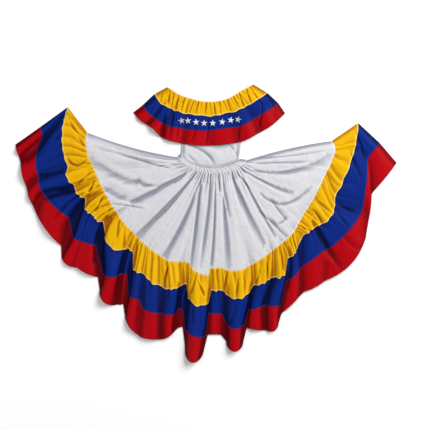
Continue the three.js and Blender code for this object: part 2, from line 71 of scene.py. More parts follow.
# How far in from its outer edge the front is at its full height, and how low it and its white creases may go
EDGE_RISE = 40
LOWEST_FRONT = 2.9
LOWEST_WHITE = 3.6

# The back: how high its ridges are, how deep a crease of the front gives a whole ridge, and how far they stay
# clear of the bodice, which rests on the back, before they grow
BACK_RIDGE = 1.0
RIDGE_CREASE = {"skirt": 6, "collar": 4}
RIDGE_GROWTH = {"skirt": 60, "collar": 30}
BODICE_CLEAR = {"x": 22, "y": 330, "reach": 155}
# How far the back's sides are drawn in under the front, and the shares of the red band's width that its hem
# reaches on a fold and between two
BACK_INSET = 1
BACK_HEM_SHARE = 0.985
BACK_VALLEY_SHARE = 0.96

# Width of the valley between two folds, in the flounce and at its seam
VALLEY_WIDTH = 8
SEAM_VALLEY_WIDTH = 4
# An edge that swells less than the first share of its length is a soft bow, past both together a round tip
BOW_LIMIT = 0.15
TIP_SPAN = 0.3
# How far the ribs crowd towards a fold's sides
RIB_CROWDING = 0.6

# One row for each fold of the flounce, from the skirt's left side round to its right. seam is where the fold
# starts on the skirt's edge. yellow, blue and hem are its left and right points on the lower edge of each
# band. swell is how far the seam and those edges round out past the line between their points, and join is
# the share of its lift that a fold keeps where it meets the one before it.
FOLDS = table("seam yellow blue hem swell lift pleats join", [
    ((-594, 455), (-691, 582, -702, 553), (-829, 482, -815, 440), (-953.5, 394, -933, 328),
     (0, 0, 0, 2), 16, 1, 0),
    ((-599, 438), (-707, 532, -690, 276), (-842, 378, -838, 230), (-927, 306, -898, 183),
     (12, 20, 10, 5), 22, 5, 0.1),
    ((-567, 292), (-701, 256, -657, 188), (-838, 215, -816, 153), (-893, 163, -866, 92),
     (0, 12, 5, 4), 18, 2, 0.5),
    ((-537, 222), (-653, 160, -599, 124), (-800, 127, -682, 26), (-847, 46, -722, -115),
     (0, 8, 5, 9), 20, 2, 0.3),
    ((-508, 162), (-608, 79, -568, 43), (-670, -69, -612, -93), (-725, -169, -646, -221),
     (0, 6, 3, 15), 16, 2, 0),
    ((-470, 92), (-560, 35, -510, 8), (-607, -95, -548, -108), (-641, -224, -537, -270),
     (0, 12, 3, 6), 18, 2, 0.9),
    ((-443, 55), (-507, -55, -388, -125), (-519, -249, -430, -255), (-534, -332, -449, -409),
     (6, 40, 18, 28), 34, 2, 0),
    ((-357, -50), (-384, -126, -361, -150), (-422, -252, -391, -253), (-435, -407, -410, -400),
     (0, 2, 0, 2), 5, 1, 0),
    ((-330, -82), (-369, -227, -309, -252), (-391, -363, -330, -380), (-407, -462, -340, -557),
     (0, 5, 3, 12), 24, 2, 0),
    ((-290, -118), (-304, -261, -220, -314), (-317, -429, -230, -450), (-332, -567, -230, -579),
     (0, 12, 3, 4), 22, 2, 0.6),
    ((-223, -165), (-210, -327, -118, -310), (-220, -452, -150, -453), (-220, -580, -163, -548),
     (12, 9, 3, 4), 24, 3, 0.45),
    ((-118, -188), (-112, -300, -93, -307), (-140, -428, -113, -428), (-142, -522, -113, -515),
     (0, 0, 0, 0), 4, 1, 0),
    ((-85, -195), (-94, -362, 15, -397), (-108, -530, 0, -567), (-108, -622, -8, -640),
     (20, 30, 14, 62), 42, 2, 0),
    ((18, -222), (22, -335, 85, -332), (9, -449, 83, -453), (5, -557, 79, -557),
     (0, 4, 0, -3), 5, 2, 0),
    ((78, -222), (92, -348, 227, -328), (97, -498, 195, -498), (97, -588, 190, -592),
     (22, 38, 26, 48), 38, 3, 0),
    ((226, -205), (233, -311, 325, -272), (208, -434, 288, -410), (200, -521, 290, -534),
     (4, 10, 3, 3), 20, 3, 0.1),
    ((332, -133), (331, -270, 400, -252), (300, -410, 375, -411), (300, -537, 364, -503),
     (0, 10, 3, 18), 26, 2, 0.2),
    ((380, -95), (405, -178, 459, -113), (398, -290, 472, -222), (375, -450, 475, -355),
     (4, 12, 10, 4), 20, 3, 0.3),
    ((443, -34), (483, -61, 542, -20), (482, -212, 588, -135), (488, -342, 590, -290),
     (0, 4, 4, 5), 16, 2, 0.5),
    ((488, 50), (557, -15, 645, 107), (610, -130, 777, 52), (600, -284, 802, -57),
     (6, 26, 12, 38), 22, 3, 0.6),
    ((594, 244), (643, 128, 742, 367), (785, 88, 807, 317), (811, 8, 828, 150),
     (4, 8, 5, 3), 14, 3, 0.7),
    ((646, 368), (746, 383, 760, 503), (812, 333, 870, 401), (838, 161, 953.5, 303),
     (4, 4, 0, 3), 8, 1, 0.5),
])
SEAM_END = (627, 412)
# The fold before this one ends on its own point of the seam, a step below the start of the next
STEPPED_FOLD = 12
STEPPED_SEAM_END = (16, -258)
BACK_FOLD_STEPS = 12

# The gathered waist casing, from left to right: its lower edge, where the skirt starts, and its upper edge
WAIST = table("lower upper", [
    ((-147, 332), (-130, 349)),
    ((-120, 300), (-105, 322)),
    ((-80, 272), (-68, 298)),
    ((-15, 250), (-10, 281)),
    ((50, 245), (48, 278)),
    ((120, 255), (112, 289)),
    ((170, 280), (152, 309)),
    ((208, 318), (172, 323)),
])
# Which share of the waist feeds which share of the skirt's edge
WAIST_SHARES = {"edge": (0, 0.28, 0.47, 0.68, 1), "waist": (0, 0.28, 0.48, 0.84, 1)}
# How far the skirt's top edges bow, and over which share of its width that dies away
TOP_EDGE_BOW = {"left": -14, "right": 10, "reach": 0.06}
# How far in from its folded sides the flounce bends round, instead of turning a corner
STRAIGHT_REACH = 30

# Creases of the white front, each along three points, with its half width at both ends and its depth. A
# crease that leans is wider to its right, or to its left where lean is negative.
CREASES = table("path width depth lean", [
    ((-132, 310, -375, 352, -585, 422), (4, 9), 4, 0.4),
    ((-150, 296, -380, 330, -560, 392), (4, 14), 3, 0),
    ((-190, 277, -320, 310, -450, 357), (6, 12), 5, 0.5),
    ((-560, 312, -420, 228, -327, 212), (30, 17), 5.5, -0.4),
    ((-345, 212, -240, 188, -107, 247), (16, 6), 5.5, 0),
    ((-107, 252, -230, 178, -375, 107), (6, 26), 9, 0.5),
    ((-520, 190, -430, 130, -330, 110), (24, 16), 4, 0.3),
    ((-465, 97, -356, 82, -315, 74), (5, 6), 4, 0.5),
    ((-50, 252, -190, 97, -348, -59), (5, 22), 9, 0.5),
    ((-60, 148, -110, 18, -205, -158), (6, 24), 9, 0.4),
    ((-80, 225, -160, 110, -250, 20), (4, 10), 5, -0.3),
    ((-27, 207, -43, 84, -75, -212), (5, 16), 9, 0.5),
    ((22, 252, 8, 60, -31, -212), (5, 15), 8, 0.4),
    ((45, 200, 40, 0, 26, -205), (4, 10), 7, 0.3),
    ((85, 132, 100, 20, 120, -212), (5, 17), 8, -0.5),
    ((90, 225, 95, 153, 118, 38), (4, 9), 6, 0),
    ((130, 250, 172, 142, 288, -98), (5, 22), 9, -0.5),
    ((183, 233, 269, 69, 345, -60), (4, 12), 6, -0.3),
    ((175, 275, 320, 195, 435, 157), (5, 12), 6, -0.4),
    ((270, 150, 385, 98, 520, 180), (8, 11), 4.5, 0.3),
    ((322, 120, 360, 67, 398, 19), (10, 9), 4, 0.3),
    ((325, 22, 362, -2, 402, 30), (12, 11), 4, -0.3),
    ((265, 60, 340, -8, 407, -72), (6, 11), 5, 0.3),
    ((230, 262, 420, 262, 600, 330), (6, 24), 6, 0.5),
    ((240, 300, 400, 305, 520, 310), (5, 10), 4, 0.3),
    ((215, 322, 400, 336, 592, 362), (4, 8), 4, 0),
    ((-95, 262, -125, 225, -160, 200), (4, 6), 6, 0),
    ((-20, 240, -38, 190, -60, 150), (4, 6), 6, 0),
    ((60, 242, 66, 200, 70, 160), (4, 5), 6, 0),
    ((150, 258, 185, 215, 215, 175), (4, 6), 6, 0),
])
# Creases of the flounce's front, and of the collar's, as above
FLOUNCE_CREASES = table("path width depth lean", [
    ((-690, 577, -805, 422, -890, 300), (10, 24), 10, 0.3),
    ((-685, 522, -650, 457, -610, 390), (6, 6), 4, 0),
    ((-705, 432, -665, 407, -622, 384), (6, 5), 5, 0.3),
    ((-695, 332, -655, 290, -600, 317), (7, 5), 6, 0.3),
    ((-640, 202, -610, 227, -580, 252), (7, 5), 7, 0.3),
    ((-600, 127, -580, 167, -560, 212), (9, 5), 8, 0.3),
    ((-822, 242, -760, 252, -717, 269), (8, 7), 6, 0.3),
    ((-790, 380, -760, 400, -730, 450), (9, 6), 4, 0),
    ((-800, 120, -740, 150, -670, 180), (10, 8), 5, 0.3),
    ((-555, 60, -535, 95, -510, 140), (7, 4), 7, 0),
    ((-520, -10, -500, 30, -480, 70), (6, 4), 6, 0),
    ((-435, 14, -442, -42, -447, -122), (5, 9), 6, 0.3),
    ((-406, -15, -407, -62, -410, -112), (4, 7), 5, 0),
    ((-345, -100, -350, -150, -362, -215), (4, 8), 6, 0),
    ((-190, -215, -205, -270, -208, -330), (5, 9), 8, 0.3),
    ((-47, -247, -60, -297, -72, -347), (4, 8), 8, 0),
    ((-45, -287, -25, -322, -10, -357), (4, 7), 7, 0),
    ((-60, -400, -70, -450, -60, -540), (8, 9), 5, 0.3),
    ((50, -230, 52, -280, 48, -330), (4, 6), 3, 0),
    ((110, -232, 100, -277, 93, -322), (4, 7), 6, 0),
    ((160, -272, 155, -322, 150, -372), (5, 7), 7, 0.3),
    ((185, -262, 192, -300, 185, -352), (4, 6), 5, 0),
    ((147, -407, 133, -457, 118, -505), (7, 9), 5, 0.3),
    ((265, -225, 262, -260, 245, -305), (4, 8), 6, 0.3),
    ((300, -190, 305, -225, 300, -270), (4, 7), 5, 0),
    ((372, -135, 380, -180, 385, -230), (4, 8), 6, 0.3),
    ((430, -75, 440, -105, 450, -140), (4, 7), 5, 0),
    ((470, -10, 500, -30, 530, -40), (4, 8), 5, 0),
    ((530, 70, 560, 35, 580, -8), (5, 9), 7, 0.4),
    ((560, 110, 595, 80, 640, 40), (5, 8), 5, 0),
    ((620, 235, 660, 190, 690, 200), (6, 7), 4, 0.3),
    ((650, 320, 690, 300, 725, 290), (5, 8), 3, 0),
    ((530, 12, 575, -80, 665, -215), (10, 22), 10, 0.4),
    ((-400, -140, -422, -230, -436, -390), (10, 15), 11, 0),
    ((-478, 20, -520, -60, -560, -190), (8, 14), 9, 0.3),
    ((-618, 150, -690, 100, -760, 20), (8, 15), 8, 0.3),
    ((-140, -300, -136, -400, -140, -500), (9, 15), 10, 0),
    ((16, -330, 14, -430, 8, -540), (8, 12), 8, 0),
    ((225, -300, 215, -400, 200, -480), (8, 12), 8, 0),
    ((415, -120, 425, -220, 400, -330), (8, 12), 7, 0),
    ((655, 42, 680, 17, 703, -12), (8, 7), 5, 0.3),
    ((660, 97, 700, 72, 740, 57), (8, 9), 5, 0.3),
    ((770, 230, 740, 300, 720, 360), (12, 8), 4, 0.3),
    ((790, 330, 770, 400, 740, 470), (9, 6), 4, 0),
    ((680, -60, 730, -110, 770, -130), (12, 16), 4, 0.3),
])
COLLAR_CREASES = table("path width depth lean", [
    ((-215, 662, -222, 635, -228, 604), (3, 5), 4, 0),
    ((-180, 668, -184, 635, -188, 588), (3, 6), 5, 0),
    ((-159, 652, -166, 620, -176, 572), (3, 5), 5, 0),
    ((-135, 642, -144, 610, -154, 566), (3, 6), 5, 0.3),
    ((-105, 631, -114, 600, -127, 554), (3, 5), 5, 0),
    ((-81, 624, -93, 590, -105, 549), (3, 6), 4, 0.3),
    ((-57, 618, -70, 590, -84, 550), (3, 4), 4, 0),
    ((-33, 614, -44, 585, -52, 548), (3, 5), 4, 0),
    ((3, 609, -2, 580, -6, 543), (3, 5), 3, 0),
    ((39, 608, 42, 575, 43, 540), (3, 6), 4, 0.3),
    ((66, 610, 70, 580, 76, 545), (3, 5), 3, 0),
    ((105, 620, 114, 590, 127, 560), (3, 5), 4, 0),
    ((135, 635, 152, 600, 167, 570), (3, 5), 4, 0.3),
    ((166, 650, 178, 615, 190, 580), (3, 5), 4, 0),
    ((201, 672, 212, 635, 226, 598), (3, 5), 5, 0.3),
    ((222, 680, 244, 645, 262, 618), (3, 5), 4, 0),
    ((-198, 575, -215, 500, -222, 435), (8, 12), 7, 0.4),
    ((-160, 560, -170, 500, -180, 440), (5, 9), 4, 0),
    ((-255, 600, -275, 560, -300, 530), (5, 7), 3, 0),
    ((-128, 545, -140, 480, -150, 410), (5, 8), 3, 0),
    ((-64, 500, -55, 460, -75, 410), (5, 8), 3, 0.3),
    ((15, 520, 12, 470, 0, 400), (5, 8), 2.5, 0),
    ((150, 540, 165, 490, 160, 430), (6, 9), 3, 0.3),
    ((262, 612, 280, 570, 262, 490), (5, 10), 4, 0.4),
    ((300, 640, 330, 600, 350, 560), (5, 8), 3, 0),
])
# A crease: how many half widths it reaches, in how many stretches it runs, and how high and wide the soft
# ridge on both its sides is
CREASE_REACH = 4
CREASE_STRETCHES = 10
CREASE_RIDGE = 0.7
CREASE_SPREAD = 1.7
# A crease fades out at both ends: it covers this much of half a wave
CREASE_ENDS = (0.06, 0.96)

# Height of the front cloth's middle along a rib. at counts the lines that a rib crosses: 0 casing top,
# 1 waist, 2 flounce seam, 3 yellow's lower edge, 4 blue's and 5 the hem. rise is the share of a fold's lift.
HEIGHTS = {
    "at": (0, 1, 1.3, 1.7, 2, 2.5, 3, 4, 5),
    "base": (9.4, 9.6, 13, 13, 8, 6, 3.8, 3, 3),
    "rise": (0, 0, 0, 0.04, 0.16, 0.5, 0.75, 0.95, 1),
}
CASING_PUFF = 2
# The waves in the front cloth: how deep each is, and the share of it along a rib, by the lines as above
WAVES = {
    "waist": {"depth": 3.2, "at": (0, 0.85, 1, 1.05, 1.15, 1.3, 1.5),
              "share": (0.4, 0.6, 0.8, 1, 0.75, 0.3, 0)},
    "seam": {"depth": 1.6, "at": (1.95, 1.99, 2, 2.06, 2.3), "share": (0, 0.4, 0.5, 1, 0)},
    "pleats": {"depth": 4.8, "at": (2, 2.12, 2.6, 3, 3.3, 3.8), "share": (0.1, 0.8, 1, 0.8, 0.3, 0.1)},
    "drift": {"depth": 1.6, "at": (1.1, 1.5, 1.95, 2.1, 5), "share": (0, 1, 0.3, 0.6, 1)},
}
WAIST_GATHERS = 34
WAIST_STRAY = 0.42
# Below this line the waist's gathers differ in their share of the depth, in waves round a middle share
EVEN_GATHERS_END = 1.1
GATHER_SHARE = {"waves": 11, "middle": 0.6, "spread": 0.4, "least": 0.2}
# The width of a pucker at the seam, and how many broad waves run through the cloth
SEAM_PUCKER = 22
DRIFTS = 15
# A gather's or a pleat's least strength, and how far its place may stray, as a share of its width
GATHER_LEAST = 0.45
GATHER_STRAY = 0.28
PLEAT_LEAST = 0.5
PLEAT_STRAY = 0.22
# The share of a pleat that falls before it steps back up
PLEAT_FALL = 0.78
# How far the pleats scallop the yellow band's lower edge, as a share of a band, over how many ribs that is
# rounded, and how far from the edge it dies away
SCALLOP = 0.045
SCALLOP_ROUNDING = 7
EDGE_WAVE_REACH = 0.4
SEEDS = {"waist": 3, "waist share": 5, "seam": 7, "drift": 9, "collar": 11, "pleats": 20, "collar edge": 31}

# Painted shade in the cloth's dips: how wide the ring is that the cloth is compared with, how deep below it a
# point counts in full, and how much the painted shade then darkens it. The white skirt, the collar and the
# bodice reach full painted shade at only a share of that depth.
HOLLOW_SHADE_RINGS = table("reach depth strength", [
    (40, 11, 0.8),
    (20, 5.5, 0.9),
    (8, 3, 0.6),
])
MAP_CELL = 4
WHITE_SHADE_DEPTH_SHARE = 0.7
COLLAR_SHADE_DEPTH_SHARE = 0.8
BODICE_SHADE_DEPTH_SHARE = 0.4

# The pieces of the skirt and of the collar. start is the line that a piece starts on, and it ends on the
# next. length is its length down the dress. rows are the rows of points in its front and its back, and steps
# how many ribs each fold of its front has.
SKIRT_PIECES = table("name cloth start length rows back_rows steps", [
    ("waistband", "white", 0, 28, 9, 3, 20),
    ("skirt", "white", 1, 500, 100, 40, 20),
    ("flounce_yellow", "yellow", 2, 135, 40, 14, 40),
    ("flounce_blue", "blue", 3, 130, 30, 14, 40),
    ("flounce_red", "red", 4, 125, 30, 14, 40),
])
COLLAR_PIECES = table("name cloth start length rows back_rows", [
    ("collar_yellow", "yellow", 0, 75, 26, 9),
    ("collar_blue", "blue", 1, 75, 22, 9),
    ("collar_red", "red", 2, 75, 22, 9),
])
FIRST_BAND_LINE = 2

# What the name of a piece's object ends with
LAYERS = {"front": "cloth", "back": "under"}

# The collar from its left end to its right: a row for each section across its bands. A fold of the collar has
# its middle and half its width as shares of the collar, and its lift.
COLLAR = table("neck yellow blue hem", [
    ((-194, 682), (-258, 647), (-318, 590), (-364, 555)),
    ((-168, 667), (-232, 604), (-285, 548), (-330, 514)),
    ((-145, 651), (-200, 584), (-241, 515), (-270, 475)),
    ((-115, 637), (-160, 566), (-190, 487), (-215, 425)),
    ((-80, 626), (-108, 549), (-125, 474), (-140, 402)),
    ((-35, 614), (-45, 541), (-50, 465), (-55, 391)),
    ((10, 609), (20, 535), (20, 464), (25, 389)),
    ((60, 612), (85, 546), (95, 475), (105, 396)),
    ((110, 625), (150, 561), (175, 486), (190, 412)),
    ((150, 647), (200, 584), (235, 519), (262, 450)),
    ((190, 671), (255, 615), (300, 557), (330, 490)),
    ((236, 696), (308, 652), (362, 601), (396, 550)),
])
COLLAR_FOLDS = table("at half lift", [
    (0.09, 0.06, 7),
    (0.2, 0.06, 20),
    (0.33, 0.07, 14),
    (0.47, 0.09, 7),
    (0.62, 0.08, 6),
    (0.76, 0.07, 12),
    (0.9, 0.06, 9),
])
COLLAR_FOLD_SHARE = 1 / 3
COLLAR_Z = 9.4
COLLAR_COLUMNS = {"front": 300, "back": 160}
# The width that the weave is counted over, across the collar and across the bodice
COLLAR_WEAVE_WIDTH = 1000
BODICE_WEAVE_WIDTH = 300
# The collar's gathers: how many, how deep at the neck, and how fast they die away down the bands
COLLAR_GATHERS = 30
COLLAR_GATHER_DEPTH = 1.8
COLLAR_GATHER_FALL = 0.8
# The wavy lower edge of the collar's yellow band, and how far the back's bands lie in from the front's
COLLAR_WAVES = 12
COLLAR_WAVE = 3.5
COLLAR_BACK_INSET = 0.04

# The bodice from neck to waist: each row's ends, how far its middle dips, and the share of its puff
BODICE = {
    "y": (612, 520, 402, 372, 345, 320, 282),
    "dip": (22, 20, 15, 20, 27, 36, 48),
    "left": (-115, -120, -122, -124, -126, -122, -116),
    "right": (165, 170, 174, 172, 167, 164, 160),
    "puff": (0, 0, 0.15, 0.8, 0.8, 0, 0),
}
BODICE_PUFF = 5
# How far in from its sides the bodice is puffed out, and its columns and rows of points
BODICE_SIDE = 9
BODICE_GRID = (61, 73)
BODICE_CREASES = table("path width depth lean", [
    ((-85, 395, 5, 345, 42, 285), (10, 16), 5, 0.4),
    ((-98, 350, -70, 325, -40, 300), (7, 8), 3, 0),
    ((100, 405, 130, 380, 150, 345), (6, 8), 4, 0.3),
    ((-111, 440, -113, 385, -110, 320), (9, 9), 6, 0),
    ((160, 440, 160, 385, 154, 320), (9, 9), 6, 0),
])
# The middles of the stars, how far each is turned in degrees, and how much painted shade darkens it
STARS = table("x y turn dull", [
    (-122, 513, 12, 0.8),
    (-90, 513, 6, 0.45),
    (-50, 506, 3, 0),
    (-9, 501, 0, 0.2),
    (34, 501, -2, 0),
    (81, 507, -5, 0),
    (124, 516, -8, 0),
    (160, 519, -14, 0.55),
])
STAR_INNER_SHARE = 0.37
STAR_POINTS = 5
STAR_RISE = 0.9
PATCH_CUTS = 5
# In metres: how far from a cloth's edge a patch counts as, at its own edge and inside, which sets how much of
# the painted edge highlight it gets, and how high the rays start that find the cloth under it
PATCH_FOOT = {"edge": 0.003, "inside": 0.006}
RAY_START = 0.2

# The camera looks straight down on this point, and the picture is this wide
PHOTO_MIDDLE = (45, 42.5)
VIEW_WIDTH = 2150
CAMERA_HEIGHT = 7000
SENSOR = 36
FLOOR_DROP = 0.4

# In metres from here on
CLIP_END = 50
LIGHTS = {
    "Main light": {"place": (3.3, 2.4, 3.6), "size": 4, "power": "key_power"},
    "Fill light": {"place": (-3.0, -0.5, 2.6), "size": 2.5, "power": "fill_power"},
}
FLOOR_COLOUR = (0.97, 0.97, 0.97, 1)
FLOOR_ROUGHNESS = 0.9

# Each cloth: its slot, the colour of the painted shade in its dips, its roughness, the depth of its small
# wrinkles, the colour of the painted light along its lower edge (a painted highlight, and painted shade on
# the red's hem), and the colour and strength of the painted light along its upper edge (painted shade under
# the band above on the blue and the red, a painted highlight on the yellow)
CLOTHS = {
    "white": {"slot": "white_poplin", "shade": (0.24, 0.25, 0.3), "rough": 0.62, "rumple": 0.006,
              "edge": (0.86, 0.85, 0.82), "head": (0.8, 0.8, 0.8), "top_light_and_shade_share": 0},
    "yellow": {"slot": "yellow_poplin", "shade": (0.3, 0.085, 0.001), "rough": 0.5, "rumple": 0.004,
               "edge": (1.0, 0.8, 0.32), "head": (1.0, 0.82, 0.45), "top_light_and_shade_share": 0.35},
    "blue": {"slot": "blue_poplin", "shade": (0.001, 0.003, 0.03), "rough": 0.48, "rumple": 0.004,
             "edge": (0.01, 0.03, 0.2), "head": (0.0005, 0.002, 0.02), "top_light_and_shade_share": 0.8},
    "red": {"slot": "red_poplin", "shade": (0.09, 0.0, 0.002), "rough": 0.5, "rumple": 0.004,
            "edge": (0.12, 0.001, 0.005), "head": (0.12, 0.001, 0.004), "top_light_and_shade_share": 0.2},
    "star": {"slot": "star_white", "shade": (0.24, 0.27, 0.38), "rough": 0.6, "rumple": 0.001,
             "edge": (0.8, 0.8, 0.82), "head": (0.8, 0.8, 0.82), "top_light_and_shade_share": 0},
}
# Width and strength of the painted light along the lower edge: a painted highlight, and painted shade on the
# red.
# The painted line along the upper edge has the same width.
EDGE_LIGHT_AND_SHADE_WIDTH = 0.007
EDGE_LIGHT_AND_SHADE_SHARE = 0.75
# The weave: its threads, and its slubs, which are long along one thread and tint and dull the cloth a little
THREADS_PER_METRE = 1400
THREAD_DEPTH = 0.00012
SLUB = 0.5
SLUB_NOISE = {"Scale": 1, "Detail": 3}
SLUB_SCALE = (900, 70, 1)
SLUB_TINT = (0.93, 1.05)
SLUB_ROUGHNESS = (-0.08, 0.1)
RUMPLE_SCALE = 20
RUMPLE_NOISE = {"Detail": 4, "Roughness": 0.45, "Distortion": 0.8}
# The row of stitches: how far from the edge, one stitch's length and the share of it that shows, half the
# thread's width, its depth, and how strongly its colour shows
STITCH = {"distance": 0.004, "pitch": 0.004, "dash": 0.75, "half": 0.0006, "depth": 0.0004, "share": 0.6}
# The sewing thread's colour, from the cloth's own
THREAD_GAIN = 1.5
THREAD_LIFT = 0.03
SHEEN = 0.04
BUMP_STRENGTH = 0.8


# Curves, waves and creases

def mix(a, b, t):
    """From a to b by the share t."""
    return a + (b - a) * t


def arch(t):
    """Half a circle over 0 to 1, with a height of 1."""
    return np.sqrt(np.maximum(0, 1 - (2 * t - 1) ** 2))


def smooth(t):
    """A soft step from 0 to 1."""
    s = np.clip(t, 0, 1)
    return s * s * (3 - 2 * s)


def fold_profile(t):
    """Height of a fold across its width, from 0 at its sides to 1 at its crest."""
    return 0.3 * arch(t) + 0.7 * np.sin(np.pi * t) ** 1.7


def near_line(at, line):
    """How close a rib's place is to a line, from 1 on it down to 0."""
    return math.exp(-(((at - line) / EDGE_WAVE_REACH) ** 2))


def from_ends(points):
    """How far each point lies from the nearer end of its row."""
    return np.minimum(*[np.linalg.norm(points - points[i], axis=1) for i in (0, -1)])


def lengths_along(points):
    """The length from the first point to each, down every column of points."""
    gaps = np.linalg.norm(np.diff(points, axis=0), axis=-1)
    return np.concatenate([np.zeros_like(gaps[:1]), np.cumsum(gaps, axis=0)])


def layered(rows):
    """The points of a sheet, from rows that each hold plan points and their heights."""
    return np.array([np.column_stack(row) for row in rows])


class Curve:
    """A smooth curve through points, read by its share of points or by its share of length."""

    def __init__(self, points):
        self.points = [np.array(p, float) for p in points]
        self.shares = np.linspace(0, 1, 201)
        self.lengths = lengths_along(np.array([self.point(s) for s in self.shares]))

    def point(self, share):
        last = len(self.points) - 1
        place = min(max(share, 0), 1) * last
        i = min(int(place), last - 1)
        t = place - i
        p1, p2 = self.points[i], self.points[i + 1]
        p0 = self.points[i - 1] if i > 0 else 2 * p1 - p2
        p3 = self.points[i + 2] if i + 2 <= last else 2 * p2 - p1
        lean1, lean2 = (p2 - p0) / 2, (p3 - p1) / 2
        return ((2 * t**3 - 3 * t**2 + 1) * p1 + (t**3 - 2 * t**2 + t) * lean1
                + (3 * t**2 - 2 * t**3) * p2 + (t**3 - t**2) * lean2)

    def point_at_length(self, share):
        return self.point(float(np.interp(share * self.lengths[-1], self.lengths, self.shares)))


def gather_wave(place, count, seed, stray=GATHER_STRAY):
    """An uneven wave of gathers, from -1 in the troughs to 1 on the ridges, along a place from 0 to 1."""
    dice = random.Random(seed)
    knots = np.arange(count + 2) - 0.5
    knots = (knots + np.array([dice.uniform(-stray, stray) for _ in knots])) / count
    strength = np.array([dice.uniform(GATHER_LEAST, 1) for _ in knots])
    phase = np.interp(place, knots, np.arange(len(knots)))
    return -np.cos(2 * np.pi * phase) * np.interp(place, knots, strength)


def pleat_wave(place, count, seed):
    """Pleats that lie over to one side: each falls slowly from 1 to -1 and ends in a step back up."""
    dice = random.Random(seed)
    strays = [dice.uniform(-PLEAT_STRAY, PLEAT_STRAY) for _ in range(1, count)]
    knots = (np.arange(count + 1) + np.array([0, *strays, 0])) / count
    phase = np.interp(place, knots, np.arange(count + 1)) % 1
    strength = np.array([dice.uniform(PLEAT_LEAST, 1) for _ in range(count + 1)])
    fall = 1 - 2 * smooth(phase / PLEAT_FALL)
    rise = 2 * smooth((phase - PLEAT_FALL) / (1 - PLEAT_FALL))
    return (fall + rise) * np.interp(place, knots, strength)


def crease_field(creases, points):
    """How deep a table of creases presses the cloth at each point, with a soft ridge on both sides."""
    depth = np.zeros(points.shape[:-1])
    for crease in creases:
        first, middle, last = np.array(crease["path"], float).reshape(3, 2)
        reach = CREASE_REACH * max(crease["width"])
        low = np.minimum.reduce([first, middle, last]) - reach
        high = np.maximum.reduce([first, middle, last]) + reach
        near = np.all((points > low) & (points < high), axis=-1)
        if not near.any():
            continue
        mine = points[near]
        t = np.linspace(0, 1, CREASE_STRETCHES + 1)[:, None]
        knots = (1 - t) * (1 - 2 * t) * first + 4 * t * (1 - t) * middle + t * (2 * t - 1) * last
        nearest = np.full(len(mine), np.inf)
        place, side = np.zeros(len(mine)), np.ones(len(mine))
        for i, (a, b) in enumerate(zip(knots, knots[1:])):
            stretch = b - a
            along = np.clip(((mine - a) @ stretch) / (stretch @ stretch), 0, 1)
            off = mine - (a + along[:, None] * stretch)
            away = np.linalg.norm(off, axis=1)
            closer = away < nearest
            nearest = np.where(closer, away, nearest)
            place = np.where(closer, (i + along) / CREASE_STRETCHES, place)
            side = np.where(closer, np.sign(off[:, 0]), side)
        width = mix(*crease["width"], place) * (1 + crease["lean"] * side)
        across = (nearest / width) ** 2
        taper = np.sqrt(np.sin(np.pi * mix(*CREASE_ENDS, place)))
        depth[near] += crease["depth"] * taper * (1 - CREASE_RIDGE * across) * np.exp(-across / CREASE_SPREAD)
    return depth


# The skirt's ribs, which run from the waist casing to the hem

def fold_edge(ends, swell, valley, shares):
    """Points along a fold's edge: its ends drawn in by the valley, its middle swelled outwards."""
    x0, y0, x1, y1 = ends
    length = math.hypot(x1 - x0, y1 - y0)
    inset = min(valley / 2, length / 5) / length
    outwards = np.array([(y1 - y0) / length, (x0 - x1) / length])
    place = mix(inset, 1 - inset, shares)[:, None]
    line = mix(np.array([x0, y0], float), np.array([x1, y1], float), place)
    tip = min(max((swell / length - BOW_LIMIT) / TIP_SPAN, 0), 1)
    return line + outwards * (swell * mix(np.sin(np.pi * shares) ** 0.8, arch(shares), tip))[:, None]


